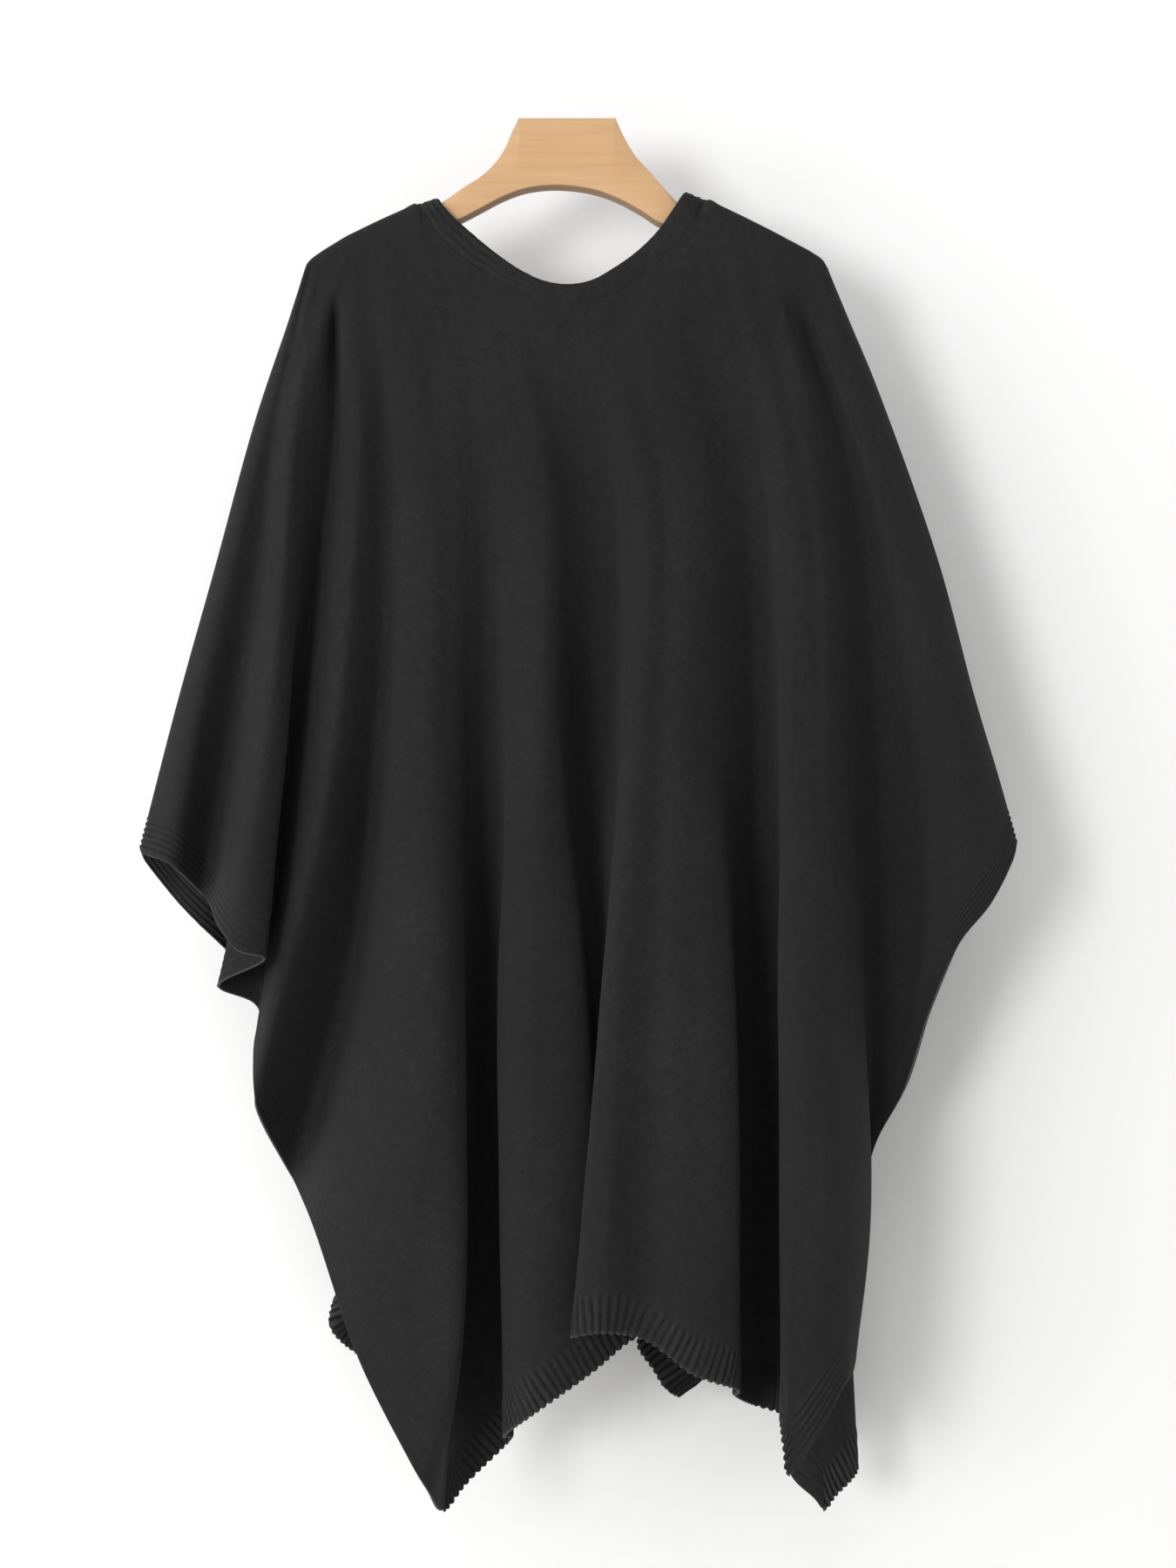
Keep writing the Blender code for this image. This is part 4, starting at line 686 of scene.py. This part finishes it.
def knit_material(name, tone, stitch_depth):
    """Fine stocking-stitch knit, a little brushed: V stitches along the wales, loose fibre and small pills."""
    made, tree, shader = shader_of(name)
    link = tree.links.new
    uv = tree.nodes.new("ShaderNodeUVMap")
    uv.uv_map = "cut"
    apart = tree.nodes.new("ShaderNodeSeparateXYZ")
    link(uv.outputs["UV"], apart.inputs[0])
    wale = math_node(tree, "FRACT", math_node(tree, "MULTIPLY", apart.outputs["X"], 1 / 0.0019))
    leg = math_node(tree, "ABSOLUTE", math_node(tree, "SUBTRACT", wale, 0.5))  # 0 at a wale's middle, 0.5 at its sides
    course = math_node(tree, "ADD", math_node(tree, "MULTIPLY", apart.outputs["Y"], 1 / 0.0014), math_node(tree, "MULTIPLY", leg, 1.3))
    wave = math_node(tree, "MULTIPLY_ADD", math_node(tree, "SINE", math_node(tree, "MULTIPLY", course, 2 * math.pi)), 0.5, 0.5)
    round_leg = math_node(tree, "SINE", math_node(tree, "MULTIPLY", leg, 2 * math.pi))
    stitch = math_node(tree, "MULTIPLY", math_node(tree, "MULTIPLY_ADD", wave, 0.55, 0.45), round_leg)

    place_at = tree.nodes.new("ShaderNodeTexCoord")
    fibre = tree.nodes.new("ShaderNodeTexNoise")
    fibre.inputs["Scale"].default_value = 620
    fibre.inputs["Detail"].default_value = 4
    fibre.inputs["Roughness"].default_value = 0.7
    link(place_at.outputs["Object"], fibre.inputs["Vector"])
    tuft = tree.nodes.new("ShaderNodeTexNoise")
    tuft.inputs["Scale"].default_value = 210
    tuft.inputs["Detail"].default_value = 3
    link(place_at.outputs["Object"], tuft.inputs["Vector"])
    broad = tree.nodes.new("ShaderNodeTexNoise")
    broad.inputs["Scale"].default_value = 9
    broad.inputs["Detail"].default_value = 2
    link(place_at.outputs["Object"], broad.inputs["Vector"])

    ramp = tree.nodes.new("ShaderNodeValToRGB")
    ramp.color_ramp.elements[0].position = 0.30
    ramp.color_ramp.elements[0].color = (*(c * 0.62 for c in tone), 1)
    ramp.color_ramp.elements[1].position = 0.78
    ramp.color_ramp.elements[1].color = (*(c * 1.75 for c in tone), 1)
    middle = ramp.color_ramp.elements.new(0.56)
    middle.color = (*tone, 1)
    mix = math_node(tree, "ADD", math_node(tree, "MULTIPLY", fibre.outputs["Fac"], 0.42), math_node(tree, "MULTIPLY", tuft.outputs["Fac"], 0.38))
    mix = math_node(tree, "ADD", mix, math_node(tree, "MULTIPLY", broad.outputs["Fac"], 0.22))
    mix = math_node(tree, "MULTIPLY_ADD", stitch, 0.09, mix)
    link(mix, ramp.inputs["Fac"])
    # the per-point tint carries the painted highlights and shade of ribs, bands and free edges
    tint = tree.nodes.new("ShaderNodeAttribute")
    tint.attribute_name = "tint"
    tinted = tree.nodes.new("ShaderNodeVectorMath")
    tinted.operation = "SCALE"
    link(ramp.outputs["Color"], tinted.inputs[0])
    link(tint.outputs["Fac"], tinted.inputs["Scale"])
    link(tinted.outputs[0], shader.inputs["Base Color"])
    link(math_node(tree, "MULTIPLY_ADD", fibre.outputs["Fac"], 0.12, 0.84), shader.inputs["Roughness"])

    height = math_node(tree, "ADD", math_node(tree, "MULTIPLY", stitch, stitch_depth), math_node(tree, "MULTIPLY", fibre.outputs["Fac"], 0.55))
    height = math_node(tree, "ADD", height, math_node(tree, "MULTIPLY", tuft.outputs["Fac"], 0.45))
    bump = tree.nodes.new("ShaderNodeBump")
    bump.inputs["Strength"].default_value = 0.55
    bump.inputs["Distance"].default_value = 0.0007
    link(height, bump.inputs["Height"])
    link(bump.outputs["Normal"], shader.inputs["Normal"])
    shader.inputs["Specular IOR Level"].default_value = 0.14
    shader.inputs["Sheen Weight"].default_value = 0.03
    shader.inputs["Sheen Roughness"].default_value = 0.45
    shader.inputs["Sheen Tint"].default_value = (0.8, 0.8, 0.82, 1)
    return made


def wood_material():
    """Pale hardwood, satin: fine grain along the hanger with a few darker lines and small pores."""
    made, tree, shader = shader_of("pale_wood")
    link = tree.links.new
    place_at = tree.nodes.new("ShaderNodeTexCoord")
    stretch = tree.nodes.new("ShaderNodeMapping")
    stretch.inputs["Scale"].default_value = (5.5, 60, 95)
    link(place_at.outputs["Object"], stretch.inputs["Vector"])
    bend = tree.nodes.new("ShaderNodeTexNoise")
    bend.inputs["Scale"].default_value = 1.1
    bend.inputs["Detail"].default_value = 3
    bend.inputs["Distortion"].default_value = 0.6
    link(stretch.outputs["Vector"], bend.inputs["Vector"])
    fine = tree.nodes.new("ShaderNodeTexNoise")
    fine.inputs["Scale"].default_value = 5
    fine.inputs["Detail"].default_value = 6
    fine.inputs["Roughness"].default_value = 0.65
    link(stretch.outputs["Vector"], fine.inputs["Vector"])
    grain = math_node(tree, "ADD", math_node(tree, "MULTIPLY", bend.outputs["Fac"], 0.55), math_node(tree, "MULTIPLY", fine.outputs["Fac"], 0.45))
    ramp = tree.nodes.new("ShaderNodeValToRGB")
    ramp.color_ramp.elements[0].position = 0.30
    ramp.color_ramp.elements[0].color = (0.420, 0.243, 0.109, 1)
    ramp.color_ramp.elements[1].position = 0.72
    ramp.color_ramp.elements[1].color = (0.508, 0.316, 0.158, 1)
    mid = ramp.color_ramp.elements.new(0.48)
    mid.color = (0.459, 0.275, 0.131, 1)
    link(grain, ramp.inputs["Fac"])
    # painted shade: faces turned downwards, such as the arc's underside, are darkened
    faces = tree.nodes.new("ShaderNodeNewGeometry")
    turned = tree.nodes.new("ShaderNodeSeparateXYZ")
    link(faces.outputs["Normal"], turned.inputs[0])
    under = tree.nodes.new("ShaderNodeMapRange")
    under.inputs["From Min"].default_value = -0.75
    under.inputs["From Max"].default_value = -0.25
    under.inputs["To Min"].default_value = 0.72
    under.inputs["To Max"].default_value = 1.0
    link(turned.outputs["Z"], under.inputs["Value"])
    shaded = tree.nodes.new("ShaderNodeVectorMath")
    shaded.operation = "SCALE"
    link(ramp.outputs["Color"], shaded.inputs[0])
    link(under.outputs["Result"], shaded.inputs["Scale"])
    link(shaded.outputs[0], shader.inputs["Base Color"])
    link(math_node(tree, "MULTIPLY_ADD", fine.outputs["Fac"], 0.18, 0.36), shader.inputs["Roughness"])
    bump = tree.nodes.new("ShaderNodeBump")
    bump.inputs["Strength"].default_value = 0.25
    bump.inputs["Distance"].default_value = 0.0003
    link(fine.outputs["Fac"], bump.inputs["Height"])
    link(bump.outputs["Normal"], shader.inputs["Normal"])
    shader.inputs["Coat Weight"].default_value = 0.12
    shader.inputs["Coat Roughness"].default_value = 0.35
    return made


def stage_material(name, rgb):
    """Plain matt surface that shows only from its own side, so that it never stands in the way of another view."""
    made, tree, shader = shader_of(name)
    shader.inputs["Base Color"].default_value = (*rgb, 1)
    shader.inputs["Roughness"].default_value = 0.9
    shader.inputs["Specular IOR Level"].default_value = 0.1
    side = tree.nodes.new("ShaderNodeNewGeometry")
    clear = tree.nodes.new("ShaderNodeBsdfTransparent")
    mix = tree.nodes.new("ShaderNodeMixShader")
    tree.links.new(side.outputs["Backfacing"], mix.inputs[0])
    tree.links.new(shader.outputs[0], mix.inputs[1])
    tree.links.new(clear.outputs[0], mix.inputs[2])
    tree.links.new(mix.outputs[0], tree.nodes["Material Output"].inputs["Surface"])
    return made


KNIT = knit_material("black_knit", (0.0128, 0.0128, 0.0132), 0.9)
RIB = knit_material("black_rib", (0.0130, 0.0130, 0.0134), 0.6)


# ---------------------------------------------------------------- cloth
FINE_TOP = tuple(np.linspace(0, 34, 12))
TOP_ROWS = FINE_TOP
FINE_DOWN = tuple(np.linspace(0, 1, 131)[1:])
COARSE_LIKE = [0, 2, 4, 6, 11, 21, 34, 50, 68, 87, 108, 128, 141]  # the rows that the solids weigh the folds' spacing by

back = make_panel("back_panel", BACK, -1, ("left_corner", "right_corner"), BACK_LENGTH, BACK_CREASES)
left = make_panel("front_left", FRONT_LEFT, 1, ("outer_corner",), FRONT_LENGTH, FRONT_CREASES, "band_seam")
right = make_panel("front_right", FRONT_RIGHT, 1, ("outer_corner",), FRONT_LENGTH, FRONT_CREASES, "band_seam")
for parts in (back, left, right):
    for node, piece in parts.items():
        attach(piece, "root")
        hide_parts(node)


# ---------------------------------------------------------------- hanger
def make_hanger():
    """Cross-sections one after another along the hanger, from end to end."""
    def line(points, count):
        p = np.array([(q.across, q.down) for q in points], float)
        return spline(lengths(p), p, np.linspace(0, lengths(p)[-1], count))

    near_left = [Pt(p.across, p.down + HANGER_DROP) for p in SHOULDER_LEFT[1:-1]]
    near_right = [Pt(p.across, p.down + HANGER_DROP) for p in SHOULDER_RIGHT[1:-1]]
    top = np.concatenate([line(near_left, 30), line(list(BLOCK_LEFT)[::-1], 60), line(list(BLOCK_RIGHT)[::-1], 60), line(near_right, 30)])
    under = [Pt(p.across + 6, p.down + WING_HEIGHT) for p in near_left] + list(ARC) + [Pt(p.across - 6, p.down + WING_HEIGHT) for p in near_right]
    under = line(under, 240)
    first, final = SHOULDER_LEFT[0].across + WING_END, SHOULDER_RIGHT[-1].across - WING_END
    keep = (top[:, 0] > first + 6) & (top[:, 0] < final - 6)
    stations = np.unique(np.round(np.concatenate([[first, first + 1, first + 3, first + 5, final - 5, final - 3, final - 1, final], top[keep, 0], np.linspace(BLOCK_LEFT[0].across, BLOCK_RIGHT[-1].across, 40)]), 2))
    top = top[np.argsort(top[:, 0])]
    half = HANGER_THICK / 2
    rings = []
    for across in stations:
        end = min(across - first, final - across)
        squeeze = 5.0 * (1 - np.sqrt(1 - (1 - min(end, 5) / 5) ** 2)) if end < 5 else 0
        high_at = np.interp(across, top[:, 0], top[:, 1]) + squeeze
        low_at = np.interp(across, under[:, 0], under[:, 1]) - squeeze
        slope_out = max(BLOCK_LEFT[-1].across - across, across - BLOCK_RIGHT[0].across)
        rounding = 0.0012 + (HANGER_ROUND - 0.0012) * smooth((slope_out + 30) / 30)
        high, low = place(across, high_at, half * 1000, -1), place(across, low_at, half * 1000, -1)
        ring = []
        for turn in np.linspace(0, 90, 7):
            a = math.radians(turn)
            ring.append((high[0], -half + rounding * (1 - math.cos(a)), high[2] - rounding * (1 - math.sin(a))))
        for turn in np.linspace(90, 0, 7):
            a = math.radians(turn)
            ring.append((high[0], half - rounding * (1 - math.cos(a)), high[2] - rounding * (1 - math.sin(a))))
        e = 0.0014
        for turn in np.linspace(0, 90, 4):
            a = math.radians(turn)
            ring.append((low[0], half - e * (1 - math.cos(a)), low[2] + e * (1 - math.sin(a))))
        for turn in np.linspace(90, 0, 4):
            a = math.radians(turn)
            ring.append((low[0], -half + e * (1 - math.cos(a)), low[2] + e * (1 - math.sin(a))))
        rings.append(ring)
    rings = np.array(rings)
    size = rings.shape[1]
    faces = [(i * size + m, i * size + (m + 1) % size, (i + 1) * size + (m + 1) % size, (i + 1) * size + m) for i in range(len(rings) - 1) for m in range(size)]
    faces += [tuple(range(size))[::-1], tuple((len(rings) - 1) * size + m for m in range(size))]
    mesh = bpy.data.meshes.new("hanger_wood")
    mesh.from_pydata(rings.reshape(-1, 3).tolist(), [], faces)
    mesh.calc_loop_triangles()
    tri = np.empty(len(mesh.loop_triangles) * 3, np.int32)
    mesh.loop_triangles.foreach_get("vertices", tri)
    t = rings.reshape(-1, 3)[tri.reshape(-1, 3)]
    if np.einsum("ij,ij->i", t[:, 0], np.cross(t[:, 1], t[:, 2])).sum() < 0:
        mesh.flip_normals()
    mesh.materials.append(wood_material())
    mesh.shade_smooth()
    mesh.set_sharp_from_angle(angle=0.8)
    obj = bpy.data.objects.new("hanger_wood", mesh)
    bpy.context.scene.collection.objects.link(obj)
    return obj


hanger = make_hanger()
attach(hanger, "root")
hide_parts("hanger")


# ---------------------------------------------------------------- stage, light and camera
def flat(name, corners, look):
    mesh = bpy.data.meshes.new(name)
    mesh.from_pydata(corners, [], [tuple(range(len(corners)))])
    mesh.materials.append(look)
    obj = bpy.data.objects.new(name, mesh)
    bpy.context.scene.collection.objects.link(obj)
    return obj


WALL_AT, FLOOR_AT = 0.118, -1.32
flat("wall", [(-4, WALL_AT, FLOOR_AT), (4, WALL_AT, FLOOR_AT), (4, WALL_AT, 3), (-4, WALL_AT, 3)], stage_material("white_wall", (0.76, 0.76, 0.76)))
flat("floor", [(-4, -5, FLOOR_AT), (4, -5, FLOOR_AT), (4, WALL_AT, FLOOR_AT), (-4, WALL_AT, FLOOR_AT)], stage_material("pale_floor", (0.80, 0.79, 0.78)))


def sun(name, toward, strength, angle):
    data = bpy.data.lights.new(name, "SUN")
    data.energy, data.angle = strength, math.radians(angle)
    obj = bpy.data.objects.new(name, data)
    obj.rotation_mode = "QUATERNION"
    obj.rotation_quaternion = Vector(toward).to_track_quat("-Z", "Y")
    bpy.context.scene.collection.objects.link(obj)


def softbox(name, at, aim, power, size):
    data = bpy.data.lights.new(name, "AREA")
    data.energy, data.shape, data.size = power, "DISK", size
    obj = bpy.data.objects.new(name, data)
    obj.location = at
    obj.rotation_mode = "QUATERNION"
    obj.rotation_quaternion = (Vector(aim) - Vector(at)).to_track_quat("-Z", "Y")
    obj.visible_camera = False
    bpy.context.scene.collection.objects.link(obj)


softbox("key", (-1.25, -2.4, -0.28), (0.0, 0.0, -0.45), 37, 0.8)
sun("side", (0.85, 0.5, -0.2), 1.25, 50)
sun("top", (0.25, 0.6, -0.8), 0.65, 40)
sun("fill_behind", (-0.25, -0.85, -0.4), 0.5, 40)
world = bpy.data.worlds.new("studio")
world.use_nodes = True
world.node_tree.nodes["Background"].inputs["Color"].default_value = (1, 1, 1, 1)
world.node_tree.nodes["Background"].inputs["Strength"].default_value = 0.64
bpy.context.scene.world = world

camera = bpy.data.cameras.new("camera")
camera.sensor_fit = "AUTO"
camera.angle = 2 * math.atan(EYE_AT[1] * UNIT / EYE_DISTANCE)
camera.clip_start, camera.clip_end = 0.05, 50
eye = bpy.data.objects.new("camera", camera)
near = (EYE_DISTANCE - HANGER_THICK / 2) / EYE_DISTANCE
eye.location = ((EYE_AT[0] - ORIGIN_AT[0]) * UNIT * near, -EYE_DISTANCE, (ORIGIN_AT[1] - EYE_AT[1]) * UNIT * near)
eye.rotation_euler = (math.radians(90), 0, 0)
bpy.context.scene.collection.objects.link(eye)
bpy.context.scene.camera = eye
bpy.context.scene.view_settings.view_transform = "Standard"
bpy.context.scene.view_settings.look = "None"
bpy.context.scene.view_settings.exposure = 0
bpy.context.scene.view_settings.gamma = 1

bpy.context.view_layer.update()
